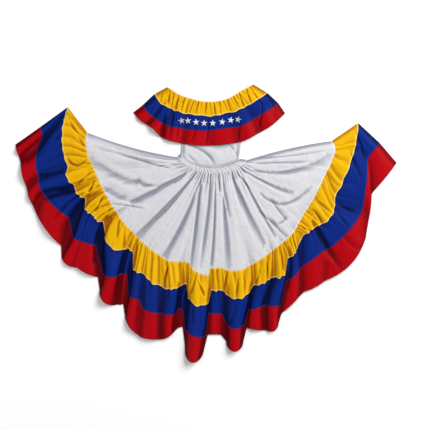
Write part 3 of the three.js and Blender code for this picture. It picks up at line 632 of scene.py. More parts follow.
def skirt_ribs(steps):
    """The skirt's ribs as arrays: where each crosses every line, and its place in its fold."""
    linear = np.linspace(0, 1, steps + 1)
    shares = mix(linear, (1 - np.cos(np.pi * linear)) / 2, RIB_CROWDING)
    # Each rib: its points on the lines, its lift, its fold, its share of the fold, and whether it is a valley
    ribs = []
    for k, fold in enumerate(FOLDS):
        following = FOLDS[k + 1] if k + 1 < len(FOLDS) else {"seam": SEAM_END, "lift": 0, "join": 0}
        seam_end = STEPPED_SEAM_END if k == STEPPED_FOLD else following["seam"]
        ends = [(*fold["seam"], *seam_end), fold["yellow"], fold["blue"], fold["hem"]]
        valleys = (SEAM_VALLEY_WIDTH, VALLEY_WIDTH, VALLEY_WIDTH, VALLEY_WIDTH)
        edges = np.stack([fold_edge(*facts, shares) for facts in zip(ends, fold["swell"], valleys)])
        before = FOLDS[k - 1]["lift"] if k > 0 else 0
        low_left = fold["join"] * min(before, fold["lift"])
        low_right = following["join"] * min(following["lift"], fold["lift"])
        if k > 0:
            ribs.append(((ribs[-1][0] + edges[:, 0]) / 2, low_left, k, 0, True))
        for i, t in enumerate(shares):
            low = mix(low_left, low_right, t)
            ribs.append((edges[:, i], mix(low, fold["lift"], float(fold_profile(t))), k, t, False))
    lines, lift, fold_of, share_in, valley = (list(column) for column in zip(*ribs))
    # The outermost ribs are the folded sides of the skirt, so they lie on the outline itself.
    first, final = FOLDS[0], FOLDS[-1]
    lines[0] = np.array([first["seam"], first["yellow"][:2], first["blue"][:2], first["hem"][:2]], float)
    lines[-1] = np.array([SEAM_END, final["yellow"][2:], final["blue"][2:], final["hem"][2:]], float)
    lines = np.array(lines)
    run = lengths_along(lines[:, 0])
    share = run / run[-1]
    waist = np.interp(share, WAIST_SHARES["edge"], WAIST_SHARES["waist"])
    lower, upper = (Curve([row[key] for row in WAIST]) for key in ("lower", "upper"))
    reach = TOP_EDGE_BOW["reach"]
    return {
        "lines": lines,
        "lift": np.array(lift, float),
        "fold": np.array(fold_of),
        "t": np.array(share_in, float),
        "valley": np.array(valley),
        "run": run,
        "hem_run": lengths_along(lines[:, 3]),
        "share": share,
        "waist": waist,
        "lower": np.array([lower.point_at_length(s) for s in waist]),
        "upper": np.array([upper.point_at_length(s) for s in waist]),
        "curves": [Curve(points) for points in lines],
        "scallops": np.zeros(len(lines)),
        "straight": np.exp(-from_ends(lines[:, 1]) / STRAIGHT_REACH),
        "bow": (TOP_EDGE_BOW["left"] * np.exp(-share / reach)
                + TOP_EDGE_BOW["right"] * np.exp((share - 1) / reach)),
    }


def rib_points(ribs, at):
    """Where every rib crosses the line at, as an array of x and y."""
    if at <= 1:
        return mix(ribs["upper"], ribs["lower"], at)
    if at <= 2:
        v = at - 1
        points = mix(ribs["lower"], ribs["lines"][:, 0], v)
        points[:, 1] += ribs["bow"] * 4 * v * (1 - v)
        return points
    # The pleats scallop the lower edge of the yellow band.
    shift = SCALLOP * near_line(at, 3) * ribs["scallops"]
    bent = np.array([curve.point((at + s - 2) / 3) for curve, s in zip(ribs["curves"], shift)])
    line = min(2, int(at - 2))
    straight = mix(ribs["lines"][:, line], ribs["lines"][:, line + 1], at - 2 - line)
    return mix(bent, straight, ribs["straight"][:, None])


def add_waves(ribs):
    """Adds to the ribs their gathers at the waist, puckers at the seam and pleats in the flounce."""
    ribs["waist_wave"] = gather_wave(ribs["waist"], WAIST_GATHERS, SEEDS["waist"], WAIST_STRAY)
    uneven = GATHER_SHARE["spread"] * gather_wave(ribs["waist"], GATHER_SHARE["waves"], SEEDS["waist share"])
    ribs["waist_share"] = np.clip(GATHER_SHARE["middle"] + uneven, GATHER_SHARE["least"], 1)
    ribs["drift"] = gather_wave(ribs["share"], DRIFTS, SEEDS["drift"])
    ribs["seam_wave"] = gather_wave(ribs["share"], int(ribs["run"][-1] / SEAM_PUCKER), SEEDS["seam"])
    wave = np.zeros(len(ribs["t"]))
    for k, fold in enumerate(FOLDS):
        mine = ribs["fold"] == k
        t = ribs["t"][mine]
        leaning = t if k < STEPPED_FOLD else 1 - t
        wave[mine] = pleat_wave(leaning, fold["pleats"], SEEDS["pleats"] + k) * np.sqrt(arch(t))
    ribs["pleat_wave"] = wave
    rounding = np.hanning(SCALLOP_ROUNDING + 2)
    ribs["scallops"] = np.convolve(wave, rounding / rounding.sum(), mode="same")


def wave_depth(name, at):
    """How deep one of the waves is at a line."""
    return WAVES[name]["depth"] * np.interp(at, WAVES[name]["at"], WAVES[name]["share"])


def front_heights(ribs, at, points, sizes):
    """Height of the front sheet's middle on every rib, at one line."""
    height = np.interp(at, HEIGHTS["at"], HEIGHTS["base"]) * np.ones(len(ribs["lift"]))
    height += ribs["lift"] * np.interp(at, HEIGHTS["at"], HEIGHTS["rise"])
    share = 1 if at < EVEN_GATHERS_END else ribs["waist_share"]
    height += wave_depth("waist", at) * ribs["waist_wave"] * share
    if at < 1:
        height += CASING_PUFF * math.sin(math.pi * at)
    height += wave_depth("seam", at) * ribs["seam_wave"]
    height += wave_depth("pleats", at) * ribs["pleat_wave"] * sizes.fold_depth
    height += wave_depth("drift", at) * ribs["drift"]
    if 1 < at < 2:
        height = np.maximum(LOWEST_WHITE, height - sizes.crease_depth * crease_field(CREASES, points))
    if at > 2:
        height = height - sizes.crease_depth * crease_field(FLOUNCE_CREASES, points)
    return mix(EDGE_Z, np.maximum(height, LOWEST_FRONT), smooth(from_ends(points) / EDGE_RISE))


def back_heights(points, creases, full_depth, off_bodice):
    """Height of a back sheet's middle, which lifts off the surface in low ridges along mirrored creases.

    A crease of full_depth gives a whole ridge. off_bodice is how far each point lies outside the bodice, from
    0 to 1 where the ridges have their full height.
    """
    mirrored = points * (-1, 1)
    ridges = sum(crease_field(rows, mirrored) for rows in creases) / full_depth
    return (BACK_Z + BACK_RIDGE * np.clip(ridges, 0, 1) * smooth(off_bodice)
            * smooth(from_ends(points) / EDGE_RISE))


def stretch_rows(piece, rows):
    """The lines of a piece from its start to its end, with both ends drawn back to leave the seam's gap."""
    draw = SEAM_DRAW / piece["length"]
    return np.linspace(piece["start"] + draw, piece["start"] + 1 - draw, rows)


def run_across(ribs, piece):
    """How far along its flat cut every rib lies: by the hem in the bands, by the skirt's edge above them."""
    return ribs["hem_run"] if piece["start"] >= FIRST_BAND_LINE else ribs["run"]


# The collar

def collar_curves():
    """The four lines along the collar."""
    return [Curve([row[line] for row in COLLAR]) for line in ("neck", "yellow", "blue", "hem")]


def collar_points(curves, shares, at):
    """Points across the collar at one line: 0 neck, 1 yellow's lower edge, 2 blue's and 3 the hem."""
    line = min(2, int(at))
    near, far = (np.array([curves[i].point(s) for s in shares]) for i in (line, line + 1))
    points = mix(near, far, at - line)
    sway = COLLAR_WAVE * near_line(at, 1) * np.sin(np.pi * shares) ** 0.5
    points[:, 1] += sway * gather_wave(shares, COLLAR_WAVES, SEEDS["collar edge"])
    return points


def collar_heights(shares, at, points, sizes):
    """Height of the front collar's middle at one line."""
    depth = COLLAR_GATHER_DEPTH * max(0.0, 1 - at * COLLAR_GATHER_FALL)
    height = COLLAR_Z + depth * gather_wave(shares, COLLAR_GATHERS, SEEDS["collar"])
    height = height - sizes.crease_depth * crease_field(COLLAR_CREASES, points)
    for fold in COLLAR_FOLDS:
        near = np.minimum(1, np.abs(shares - fold["at"]) / fold["half"])
        height += fold["lift"] * at * np.cos(np.pi / 2 * near) ** 2 * COLLAR_FOLD_SHARE
    return mix(EDGE_Z, height, smooth(from_ends(points) / EDGE_RISE))


# Painted shade in the cloth's dips

class HeightMaps:
    """The mean height of the cloth around any point, in broad and in narrow rings."""

    def __init__(self, sheets):
        points = np.concatenate([sheet.reshape(-1, 3) for sheet in sheets])
        self.low = points[:, :2].min(axis=0) - MAP_CELL
        cells = np.round((points[:, :2] - self.low) / MAP_CELL).astype(int)
        shape = tuple(cells.max(axis=0) + 2)
        total, count = np.zeros(shape), np.zeros(shape)
        np.add.at(total, tuple(cells.T), points[:, 2])
        np.add.at(count, tuple(cells.T), 1)
        filled = (count > 0).astype(float)
        mean = np.where(count > 0, total / np.maximum(count, 1), 0)
        self.maps = [self.blurred(mean, ring["reach"]) / np.maximum(self.blurred(filled, ring["reach"]), 1e-6)
                     for ring in HOLLOW_SHADE_RINGS]

    @staticmethod
    def blurred(grid, reach):
        """The grid with every cell spread over its neighbours in a bell of the given reach."""
        steps = np.arange(-3 * reach, 3 * reach + 0.1, MAP_CELL)
        bell = np.exp(-0.5 * (steps / reach) ** 2)
        for axis in (0, 1):
            grid = np.apply_along_axis(lambda line: np.convolve(line, bell, mode="same"), axis, grid)
        return grid

    def around(self, number, points):
        """The mean height around each point, read between the cells of one ring's map."""
        place = (points[..., :2] - self.low) / MAP_CELL
        corner = np.clip(np.floor(place).astype(int), 0, np.array(self.maps[number].shape) - 2)
        part = np.clip(place - corner, 0, 1)
        grid, i, j = self.maps[number], corner[..., 0], corner[..., 1]
        near = mix(grid[i, j], grid[i + 1, j], part[..., 0])
        far = mix(grid[i, j + 1], grid[i + 1, j + 1], part[..., 0])
        return mix(near, far, part[..., 1])


def hollow_shade_shares(places, heights, shade_depth_share):
    """How far each point lies below the cloth around it, from 0 to 1, as the share of painted shade in its
    colour.
    """
    open_share = np.ones(places.shape[:2])
    for number, ring in enumerate(HOLLOW_SHADE_RINGS):
        shade_share = (heights.around(number, places) - places[..., 2]) / (ring["depth"] * shade_depth_share)
        open_share *= 1 - ring["strength"] * np.clip(shade_share, 0, 1)
    return 1 - open_share


# Meshes

def linked_object(bm, name):
    """Turns a bmesh into an object of the scene."""
    mesh = bpy.data.meshes.new(name)
    bm.to_mesh(mesh)
    bm.free()
    obj = bpy.data.objects.new(name, mesh)
    bpy.context.scene.collection.objects.link(obj)
    return obj


def cloth_object(bm, name, thickness):
    """An object of cloth: smooth, and with a thickness half on each side of its mesh."""
    for face in bm.faces:
        face.smooth = True
    obj = linked_object(bm, name)
    wall = obj.modifiers.new("Wall", "SOLIDIFY")
    wall.thickness = thickness
    wall.offset = 0
    return obj


def cloth_layers(bm):
    """What a cloth's material reads: its place in metres on the flat cut, its distance from the lower edge in
    metres, and how deep it lies in a dip, which sets the painted shade in its colour."""
    floats = bm.verts.layers.float
    return bm.loops.layers.uv.new("cloth"), floats.new("from_foot"), floats.new("hollow")


def sheet_mesh(name, places, across, shade_share):
    """A sheet of cloth as a solidified grid.

    places is an array of rows from neck to hem, columns from left to right. across is the flat length at
    each column, and shade_share is how deep the cloth lies in a dip at each place, from 0 to 1, which sets
    the painted shade in its colour.
    """
    rows, columns = places.shape[:2]
    down = lengths_along(places)
    bm = bmesh.new()
    bmesh.ops.create_grid(bm, x_segments=columns - 1, y_segments=rows - 1, size=1)
    if len(bm.verts) != rows * columns:
        bm.free()
        raise RuntimeError(f"{name}: the grid has {len(bm.verts)} points, not {rows * columns}")
    cloth, foot, hollow = cloth_layers(bm)
    for vert in bm.verts:
        c = round((vert.co.x + 1) / 2 * (columns - 1))
        r = rows - 1 - round((vert.co.y + 1) / 2 * (rows - 1))
        vert.co = Vector(places[r, c]) * MM
        vert[foot] = (down[-1, c] - down[r, c]) * MM
        vert[hollow] = shade_share[r, c]
        for loop in vert.link_loops:
            loop[cloth].uv = (across[c] * MM, down[r, c] * MM)
    return cloth_object(bm, name, bpy.context.scene.dress_sizes.wall)


def star_patch(name, star, surface):
    """A five-pointed patch that follows the band under it."""
    radius = bpy.context.scene.dress_sizes.star_radius
    bm = bmesh.new()
    bmesh.ops.create_circle(bm, cap_ends=True, cap_tris=False, segments=2 * STAR_POINTS, radius=radius)
    for i, vert in enumerate(bm.verts):
        reach = radius * (1 if i % 2 == 0 else STAR_INNER_SHARE)
        angle = math.pi / 2 + math.pi / STAR_POINTS * i + math.radians(star["turn"])
        vert.co = Vector((reach * math.cos(angle), reach * math.sin(angle), 0))
    bmesh.ops.poke(bm, faces=bm.faces[:])
    bmesh.ops.subdivide_edges(bm, edges=bm.edges[:], cuts=PATCH_CUTS, use_grid_fill=True)
    cloth, foot, hollow = cloth_layers(bm)
    middle = Vector((star["x"], star["y"], 0)) * MM
    for vert in bm.verts:
        vert[foot] = PATCH_FOOT["edge" if vert.is_boundary else "inside"]
        # Each star's own share of painted shade
        vert[hollow] = star["dull"]
        for loop in vert.link_loops:
            loop[cloth].uv = (vert.co.x, vert.co.y)
        vert.co += middle
        hit = surface.ray_cast(Vector((vert.co.x, vert.co.y, RAY_START)), Vector((0, 0, -1)))[0]
        if hit is None:
            raise RuntimeError(f"{name} lies past the blue band")
        vert.co.z = hit.z + STAR_RISE * MM + WALL * MM / 2
    bmesh.ops.recalc_face_normals(bm, faces=bm.faces[:])
    return cloth_object(bm, name, PATCH_WALL * MM)


# Materials

def add_node(tree, kind, sockets=None, **settings):
    """Adds a node. sockets holds a value, or the output to link, for each of its inputs that is set."""
    node = tree.nodes.new(kind)
    for key, value in settings.items():
        setattr(node, key, value)
    for key, value in (sockets or {}).items():
        if isinstance(value, bpy.types.NodeSocket):
            tree.links.new(value, node.inputs[key])
        else:
            node.inputs[key].default_value = value
    return node


def math_node(tree, operation, *values):
    """The result of a calculation with numbers and outputs."""
    return add_node(tree, "ShaderNodeMath", dict(enumerate(values)), operation=operation).outputs[0]


def mixed_colour(tree, share, under, over, blend="MIX"):
    """One colour over another by a share. Both are colours or outputs."""
    sockets = {0: share, 6: under, 7: over}
    return add_node(tree, "ShaderNodeMix", sockets, data_type="RGBA", blend_type=blend).outputs[2]


def ranged(tree, value, low, high, reach=1):
    """A value from 0 to reach as one from low to high."""
    sockets = {"Value": value, "From Max": reach, "To Min": low, "To Max": high}
    return add_node(tree, "ShaderNodeMapRange", sockets).outputs[0]


def attribute(tree, name):
    """What the mesh keeps under a name, as an output."""
    return add_node(tree, "ShaderNodeAttribute", attribute_name=name).outputs["Fac"]


def cloth_place(tree):
    """Where a point lies on its flat cut, as one output, and its two parts."""
    place = add_node(tree, "ShaderNodeUVMap", uv_map="cloth").outputs["UV"]
    return place, add_node(tree, "ShaderNodeSeparateXYZ", {0: place}).outputs


def fill_weave(group, given, result):
    """Crossed threads of the cloth with slubs: a height, and a tint for uneven yarn."""
    place, parts = cloth_place(group)
    waves = []
    for axis in ("X", "Y"):
        turns = math_node(group, "MULTIPLY", parts[axis], given["Threads per metre"])
        waves.append(math_node(group, "SINE", math_node(group, "MULTIPLY", turns, 2 * math.pi)))
    crossed = math_node(group, "MULTIPLY", math_node(group, "MULTIPLY", *waves), 0.5)
    stretched = add_node(group, "ShaderNodeMapping", {"Vector": place, "Scale": SLUB_SCALE}).outputs[0]
    slub = add_node(group, "ShaderNodeTexNoise", {"Vector": stretched, **SLUB_NOISE}).outputs[0]
    yarn = math_node(group, "MULTIPLY", slub, given["Slub"])
    group.links.new(math_node(group, "ADD", crossed, yarn), result["Height"])
    group.links.new(slub, result["Tint"])


def fill_rumples(group, given, result):
    """Small soft wrinkles of worn cloth, as a height in metres."""
    place = add_node(group, "ShaderNodeTexCoord").outputs["Object"]
    sockets = {"Vector": place, "Scale": given["Scale"], **RUMPLE_NOISE}
    noise = add_node(group, "ShaderNodeTexNoise", sockets).outputs[0]
    group.links.new(math_node(group, "MULTIPLY", noise, given["Depth"]), result["Height"])


def fill_stitches(group, given, result):
    """A row of lockstitch at a distance from an edge: a mask of its threads and a height."""
    parts = cloth_place(group)[1]
    off = math_node(group, "SUBTRACT", given["From edge"], given["Distance"])
    near = math_node(group, "LESS_THAN", math_node(group, "ABSOLUTE", off), STITCH["half"])
    beat = math_node(group, "FRACT", math_node(group, "DIVIDE", parts["X"], given["Pitch"]))
    thread = math_node(group, "MULTIPLY", near, math_node(group, "LESS_THAN", beat, STITCH["dash"]))
    group.links.new(thread, result["Thread"])
    group.links.new(math_node(group, "MULTIPLY", thread, STITCH["depth"]), result["Height"])


NODE_GROUPS = {
    "Poplin weave": {"fill": fill_weave, "outputs": ("Height", "Tint"),
                     "inputs": {"Threads per metre": THREADS_PER_METRE, "Slub": SLUB}},
    "Rumples": {"fill": fill_rumples, "outputs": ("Height",),
                "inputs": {"Scale": RUMPLE_SCALE, "Depth": 0.002}},
    "Stitch row": {"fill": fill_stitches, "outputs": ("Thread", "Height"),
                   "inputs": {"From edge": 0, "Distance": STITCH["distance"], "Pitch": STITCH["pitch"]}},
}


def place_group(tree, name, sockets):
    """Places a node group with named sockets, which is built the first time that it is asked for."""
    if name not in bpy.data.node_groups:
        facts = NODE_GROUPS[name]
        group = bpy.data.node_groups.new(name, "ShaderNodeTree")
        for label, value in facts["inputs"].items():
            socket = group.interface.new_socket(label, in_out="INPUT", socket_type="NodeSocketFloat")
            socket.default_value = value
        for label in facts["outputs"]:
            group.interface.new_socket(label, in_out="OUTPUT", socket_type="NodeSocketFloat")
        start, end = group.nodes.new("NodeGroupInput"), group.nodes.new("NodeGroupOutput")
        facts["fill"](group, start.outputs, end.inputs)
    given = {**NODE_GROUPS[name]["inputs"], **sockets}
    return add_node(tree, "ShaderNodeGroup", given, node_tree=bpy.data.node_groups[name]).outputs


def cloth_material(cloth):
    """The cloth's material, built the first time that a piece asks for it."""
    facts = CLOTHS[cloth]
    name = f"{cloth}_cloth_weave"
    if name in bpy.data.materials:
        return bpy.data.materials[name]
    colour = getattr(bpy.context.scene.dress_colours, cloth)
    material = bpy.data.materials.new(name)
    material.use_nodes = True
    tree = material.node_tree
    shader = tree.nodes["Principled BSDF"]
    shader.inputs["Specular IOR Level"].default_value = SHEEN

    weave = place_group(tree, "Poplin weave", {})
    rumple = place_group(tree, "Rumples", {"Depth": facts["rumple"]})
    foot = attribute(tree, "from_foot")
    seam = place_group(tree, "Stitch row", {"From edge": foot})
    head = cloth_place(tree)[1]["Y"]

    tint = weave["Tint"]
    paint = mixed_colour(tree, 1, (*colour, 1), ranged(tree, tint, *SLUB_TINT), "MULTIPLY")
    # Painted shade: the cloth darkens towards its shade colour in its dips
    paint = mixed_colour(tree, attribute(tree, "hollow"), paint, (*facts["shade"], 1))
    # Painted highlight along the lower edge, and painted shade along the red's hem
    edge_light_and_shade = ranged(tree, foot, EDGE_LIGHT_AND_SHADE_SHARE, 0, EDGE_LIGHT_AND_SHADE_WIDTH)
    paint = mixed_colour(tree, edge_light_and_shade, paint, (*facts["edge"], 1))
    # Painted shade under the band above along the blue's and the red's upper edges, and a painted highlight
    # along the yellow's
    top_light_and_shade_share = ranged(tree, head, facts["top_light_and_shade_share"], 0, EDGE_LIGHT_AND_SHADE_WIDTH)
    paint = mixed_colour(tree, top_light_and_shade_share, paint, (*facts["head"], 1))
    thread = math_node(tree, "MULTIPLY", seam["Thread"], STITCH["share"])
    paint = mixed_colour(tree, thread, paint, (*[min(1, c * THREAD_GAIN + THREAD_LIFT) for c in colour], 1))
    tree.links.new(paint, shader.inputs["Base Color"])

    rough = ranged(tree, tint, *[facts["rough"] + change for change in SLUB_ROUGHNESS])
    tree.links.new(rough, shader.inputs["Roughness"])
    threads = math_node(tree, "MULTIPLY", weave["Height"], THREAD_DEPTH)
    folds = math_node(tree, "ADD", threads, rumple["Height"])
    height = math_node(tree, "ADD", folds, seam["Height"])
    bump = add_node(tree, "ShaderNodeBump", {"Height": height, "Distance": 1, "Strength": BUMP_STRENGTH})
    tree.links.new(bump.outputs[0], shader.inputs["Normal"])
    return material


def declare(obj, cloth, node):
    """Gives a piece its cloth, hangs it from the root body and hides the CAD part that it stands for."""
    obj.data.materials.append(cloth_material(cloth))
    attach(obj, "root")
    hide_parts(node)


def lay(piece, side, cloth, places, across, shade_share):
    """Lays one side of a piece as a sheet of cloth."""
    obj = sheet_mesh(f"{piece}_{LAYERS[side]}", places, across, shade_share)
    declare(obj, cloth, f"{piece}_{side}")


# What a user would change

def number_setting(name, description, default, low, high, **kind):
    return bpy.props.FloatProperty(
        name=name, description=description, default=default, min=low, max=high, **kind)


def colour_setting(name, description, default):
    return bpy.props.FloatVectorProperty(
        name=name, description=description, default=default, min=0, max=1, subtype="COLOR")


class DressSizes(bpy.types.PropertyGroup):
    wall: number_setting(
        "Cloth", "Thickness of the cloth", WALL * MM, 0.0005, 0.003, unit="LENGTH", precision=4)
    fold_depth: number_setting(
        "Pleats", "How deep the flounce's pleats are, against the usual", 1, 0, 2, subtype="FACTOR")
    crease_depth: number_setting(
        "Creases", "How deep the creases are, against the usual", 1, 0, 2, subtype="FACTOR")
    star_radius: number_setting(
        "Star radius", "From a star's middle to its points", 0.0178, 0.01, 0.025, unit="LENGTH", precision=4)


class DressColours(bpy.types.PropertyGroup):
    white: colour_setting("White", "Skirt, waist and bodice", (0.6, 0.6, 0.625))
    yellow: colour_setting("Yellow", "First band of the flounce and the collar", (0.74, 0.405, 0.002))
    blue: colour_setting("Blue", "Middle band of the flounce and the collar", (0.003, 0.019, 0.185))
    red: colour_setting("Red", "Lowest band of the flounce and the collar", (0.39, 0.001, 0.005))
    star: colour_setting("Stars", "The patches on the collar", (0.68, 0.68, 0.7))


class StageSettings(bpy.types.PropertyGroup):
    floor_width: number_setting("Floor", "Width of the floor", 8, 3, 20, unit="LENGTH")
    key_power: number_setting("Main light", "Power of the light from the right", 370, 0, 1000, unit="POWER")
    fill_power: number_setting("Fill light", "Power of the light from the left", 48, 0, 1000, unit="POWER")
    surround: number_setting("Surround", "Strength of the light from all round", 0.3, 0, 3)


class FOLK_DRESS_OT_skirt_front(bpy.types.Operator):
    """Builds the front of the skirt: waist casing, white fan and the flounce's three bands"""
    bl_idname = "folk_dress.skirt_front"
    bl_label = "Skirt front"

    def execute(self, context):
        ribs_of = {steps: skirt_ribs(steps) for steps in {piece["steps"] for piece in SKIRT_PIECES}}
        for ribs in ribs_of.values():
            add_waves(ribs)
        sheets = []
        for piece in SKIRT_PIECES:
            ribs = ribs_of[piece["steps"]]
            rows = []
            for at in stretch_rows(piece, piece["rows"]):
                points = rib_points(ribs, at)
                rows.append((points, front_heights(ribs, at, points, context.scene.dress_sizes)))
            sheets.append(layered(rows))
        heights = HeightMaps(sheets)
        for piece, places in zip(SKIRT_PIECES, sheets):
            name, cloth = piece["name"], piece["cloth"]
            shade_share = hollow_shade_shares(places, heights, WHITE_SHADE_DEPTH_SHARE if cloth == "white" else 1)
            across = run_across(ribs_of[piece["steps"]], piece)
            lay(name, "front", cloth, places, across, shade_share)
        return {"FINISHED"}


class FOLK_DRESS_OT_skirt_back(bpy.types.Operator):
    """Builds the back of the skirt, which lies on the surface under the front"""
    bl_idname = "folk_dress.skirt_back"
    bl_label = "Skirt back"

    def execute(self, context):
        ribs = skirt_ribs(BACK_FOLD_STEPS)
        hem_share = np.where(ribs["valley"], BACK_VALLEY_SHARE, BACK_HEM_SHARE)[:, None]
        for piece in SKIRT_PIECES:
            rows = []
            for at in stretch_rows(piece, piece["back_rows"]):
                points = rib_points(ribs, at)
                if at > 4:
                    points = mix(rib_points(ribs, 4), points, hem_share)
                points[0] += (BACK_INSET, -BACK_INSET)
                points[-1] += (-BACK_INSET, -BACK_INSET)
                away = np.hypot(points[:, 0] - BODICE_CLEAR["x"], points[:, 1] - BODICE_CLEAR["y"])
                off_bodice = (away - BODICE_CLEAR["reach"]) / RIDGE_GROWTH["skirt"]
                creases = (CREASES, FLOUNCE_CREASES)
                rows.append((points, back_heights(points, creases, RIDGE_CREASE["skirt"], off_bodice)))
            places = layered(rows)
            across = run_across(ribs, piece)
            lay(piece["name"], "back", piece["cloth"], places, across, np.zeros(places.shape[:2]))
        return {"FINISHED"}


class FOLK_DRESS_OT_collar_front(bpy.types.Operator):
    """Builds the front of the off-shoulder collar in its three bands"""
    bl_idname = "folk_dress.collar_front"
    bl_label = "Collar front"

    def execute(self, context):
        curves = collar_curves()
        shares = np.linspace(0, 1, COLLAR_COLUMNS["front"] + 1)
        sheets = []
        for piece in COLLAR_PIECES:
            rows = []
            for at in stretch_rows(piece, piece["rows"]):
                points = collar_points(curves, shares, at)
                rows.append((points, collar_heights(shares, at, points, context.scene.dress_sizes)))
            sheets.append(layered(rows))
        heights = HeightMaps(sheets)
        for piece, places in zip(COLLAR_PIECES, sheets):
            name = piece["name"]
            shade_share = hollow_shade_shares(places, heights, COLLAR_SHADE_DEPTH_SHARE)
            lay(name, "front", piece["cloth"], places, shares * COLLAR_WEAVE_WIDTH, shade_share)
        return {"FINISHED"}


class FOLK_DRESS_OT_collar_back(bpy.types.Operator):
    """Builds the back of the collar, which lies on the surface"""
    bl_idname = "folk_dress.collar_back"
    bl_label = "Collar back"

    def execute(self, context):
        curves = collar_curves()
        shares = np.linspace(0, 1, COLLAR_COLUMNS["back"] + 1)
        for piece in COLLAR_PIECES:
            rows = []
            for at in stretch_rows(piece, piece["back_rows"]):
                place = mix(COLLAR_BACK_INSET, 3 - COLLAR_BACK_INSET, at / 3)
                points = collar_points(curves, shares, place)
                points[0, 0] += BACK_INSET
                points[-1, 0] -= BACK_INSET
                off_bodice = np.abs(points[:, 0] - BODICE_CLEAR["x"]) - BODICE_CLEAR["reach"]
                off_bodice = off_bodice / RIDGE_GROWTH["collar"]
                heights = back_heights(points, (COLLAR_CREASES,), RIDGE_CREASE["collar"], off_bodice)
                rows.append((points, heights))
            places = layered(rows)
            across, shade_share = shares * COLLAR_WEAVE_WIDTH, np.zeros(places.shape[:2])
            lay(piece["name"], "back", piece["cloth"], places, across, shade_share)
        return {"FINISHED"}


class FOLK_DRESS_OT_bodice(bpy.types.Operator):
    """Builds the white bodice, front and back"""
    bl_idname = "folk_dress.bodice"
    bl_label = "Bodice"

    def execute(self, context):
        columns, rows_down = BODICE_GRID
        shares = np.linspace(0, 1, columns)
        steps = np.arange(len(BODICE["y"]))
        for side, z in (("front", BODICE_FRONT_Z), ("back", BODICE_BACK_Z)):
            rows = []
            for place in np.linspace(0, steps[-1], rows_down):
                row = {key: float(np.interp(place, steps, values)) for key, values in BODICE.items()}
                y = row["y"] - row["dip"] * (1 - (2 * shares - 1) ** 2)
                points = np.column_stack([mix(row["left"], row["right"], shares), y])
                height = np.full(len(shares), z)
                if side == "front":
                    soft = np.maximum(0, BODICE_PUFF - crease_field(BODICE_CREASES, points))
                    from_side = np.minimum(points[:, 0] - points[0, 0], points[-1, 0] - points[:, 0])
                    height = height + row["puff"] * soft * (1 - np.exp(-from_side / BODICE_SIDE))
                rows.append((points, height))
            places = layered(rows)
            shade_share = hollow_shade_shares(places, HeightMaps([places]), BODICE_SHADE_DEPTH_SHARE)
            lay("bodice", side, "white", places, shares * BODICE_WEAVE_WIDTH, shade_share)
        return {"FINISHED"}


class FOLK_DRESS_OT_stars(bpy.types.Operator):
    """Sews the eight stars on the collar's blue band"""
    bl_idname = "folk_dress.stars"
    bl_label = "Stars"

    def execute(self, context):
        band = bpy.data.objects.get("collar_blue_cloth")
        if band is None:
            raise RuntimeError("the stars need the collar's blue band")
        bm = bmesh.new()
        bm.from_mesh(band.data)
        surface = BVHTree.FromBMesh(bm)
        bm.free()
        for number, star in enumerate(STARS, 1):
            obj = star_patch(f"star_patch_{number}", star, surface)
            declare(obj, "star", f"star_{number}")
        return {"FINISHED"}


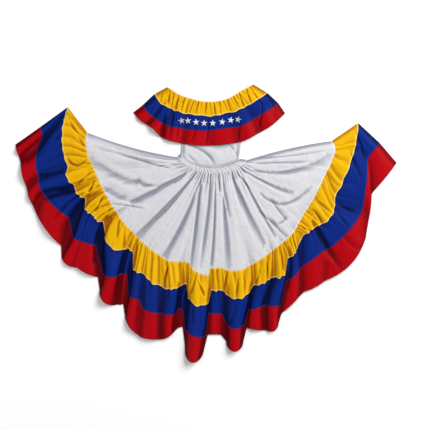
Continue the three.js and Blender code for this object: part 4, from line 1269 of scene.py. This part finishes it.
class FOLK_DRESS_OT_stage(bpy.types.Operator):
    """Adds the floor, the lights and the camera"""
    bl_idname = "folk_dress.stage"
    bl_label = "Stage"

    def execute(self, context):
        scene = context.scene
        stage = scene.dress_stage
        bm = bmesh.new()
        bmesh.ops.create_grid(bm, x_segments=1, y_segments=1, size=stage.floor_width / 2)
        bmesh.ops.translate(bm, verts=bm.verts[:], vec=(0, 0, -FLOOR_DROP * MM))
        floor = linked_object(bm, "Floor")
        paint = bpy.data.materials.new("floor_white")
        paint.use_nodes = True
        shader = paint.node_tree.nodes["Principled BSDF"]
        shader.inputs["Base Color"].default_value = FLOOR_COLOUR
        shader.inputs["Roughness"].default_value = FLOOR_ROUGHNESS
        floor.data.materials.append(paint)

        world = bpy.data.worlds.new("Surround")
        world.use_nodes = True
        background = world.node_tree.nodes["Background"]
        background.inputs["Color"].default_value = (1, 1, 1, 1)
        background.inputs["Strength"].default_value = stage.surround
        scene.world = world
        for name, light in LIGHTS.items():
            add_light(name, light["place"], light["size"], getattr(stage, light["power"]))

        lens = bpy.data.cameras.new("Camera")
        lens.sensor_width = SENSOR
        lens.lens = SENSOR * CAMERA_HEIGHT / VIEW_WIDTH
        lens.clip_end = CLIP_END
        camera = bpy.data.objects.new("Camera", lens)
        camera.location = Vector((*PHOTO_MIDDLE, CAMERA_HEIGHT)) * MM
        scene.collection.objects.link(camera)
        scene.camera = camera
        scene.view_settings.view_transform = "Standard"
        return {"FINISHED"}


def add_light(name, place, size, power):
    """Adds a square light that faces the middle of the dress."""
    light = bpy.data.lights.new(name, "AREA")
    light.size = size
    light.energy = power
    obj = bpy.data.objects.new(name, light)
    obj.location = place
    obj.rotation_euler = (-Vector(place)).to_track_quat("-Z", "Y").to_euler()
    bpy.context.scene.collection.objects.link(obj)


class FOLK_DRESS_PT_panel(bpy.types.Panel):
    """Sizes, colours and the pieces of the dress"""
    bl_label = "Folk dress"
    bl_idname = "FOLK_DRESS_PT_panel"
    bl_space_type = "VIEW_3D"
    bl_region_type = "UI"
    bl_category = "Folk dress"

    def draw(self, context):
        layout = self.layout
        for group in GROUPS:
            settings = getattr(context.scene, group)
            for key in settings.__annotations__:
                layout.prop(settings, key)
        for operator in OPERATORS:
            layout.operator(operator.bl_idname)


# In the order in which the pieces lie on each other
OPERATORS = (
    FOLK_DRESS_OT_stage,
    FOLK_DRESS_OT_skirt_back,
    FOLK_DRESS_OT_collar_back,
    FOLK_DRESS_OT_bodice,
    FOLK_DRESS_OT_skirt_front,
    FOLK_DRESS_OT_collar_front,
    FOLK_DRESS_OT_stars,
)
GROUPS = {"dress_sizes": DressSizes, "dress_colours": DressColours, "dress_stage": StageSettings}


def register():
    for cls in (*GROUPS.values(), *OPERATORS, FOLK_DRESS_PT_panel):
        bpy.utils.register_class(cls)
    for key, group in GROUPS.items():
        setattr(bpy.types.Scene, key, bpy.props.PointerProperty(type=group))


def unregister():
    for key in GROUPS:
        delattr(bpy.types.Scene, key)
    for cls in reversed((*GROUPS.values(), *OPERATORS, FOLK_DRESS_PT_panel)):
        bpy.utils.unregister_class(cls)


def main():
    register()
    bpy.ops.folk_dress.stage()
    bpy.ops.folk_dress.skirt_back()
    bpy.ops.folk_dress.collar_back()
    bpy.ops.folk_dress.bodice()
    bpy.ops.folk_dress.skirt_front()
    bpy.ops.folk_dress.collar_front()
    bpy.ops.folk_dress.stars()


if __name__ == "__main__":
    main()
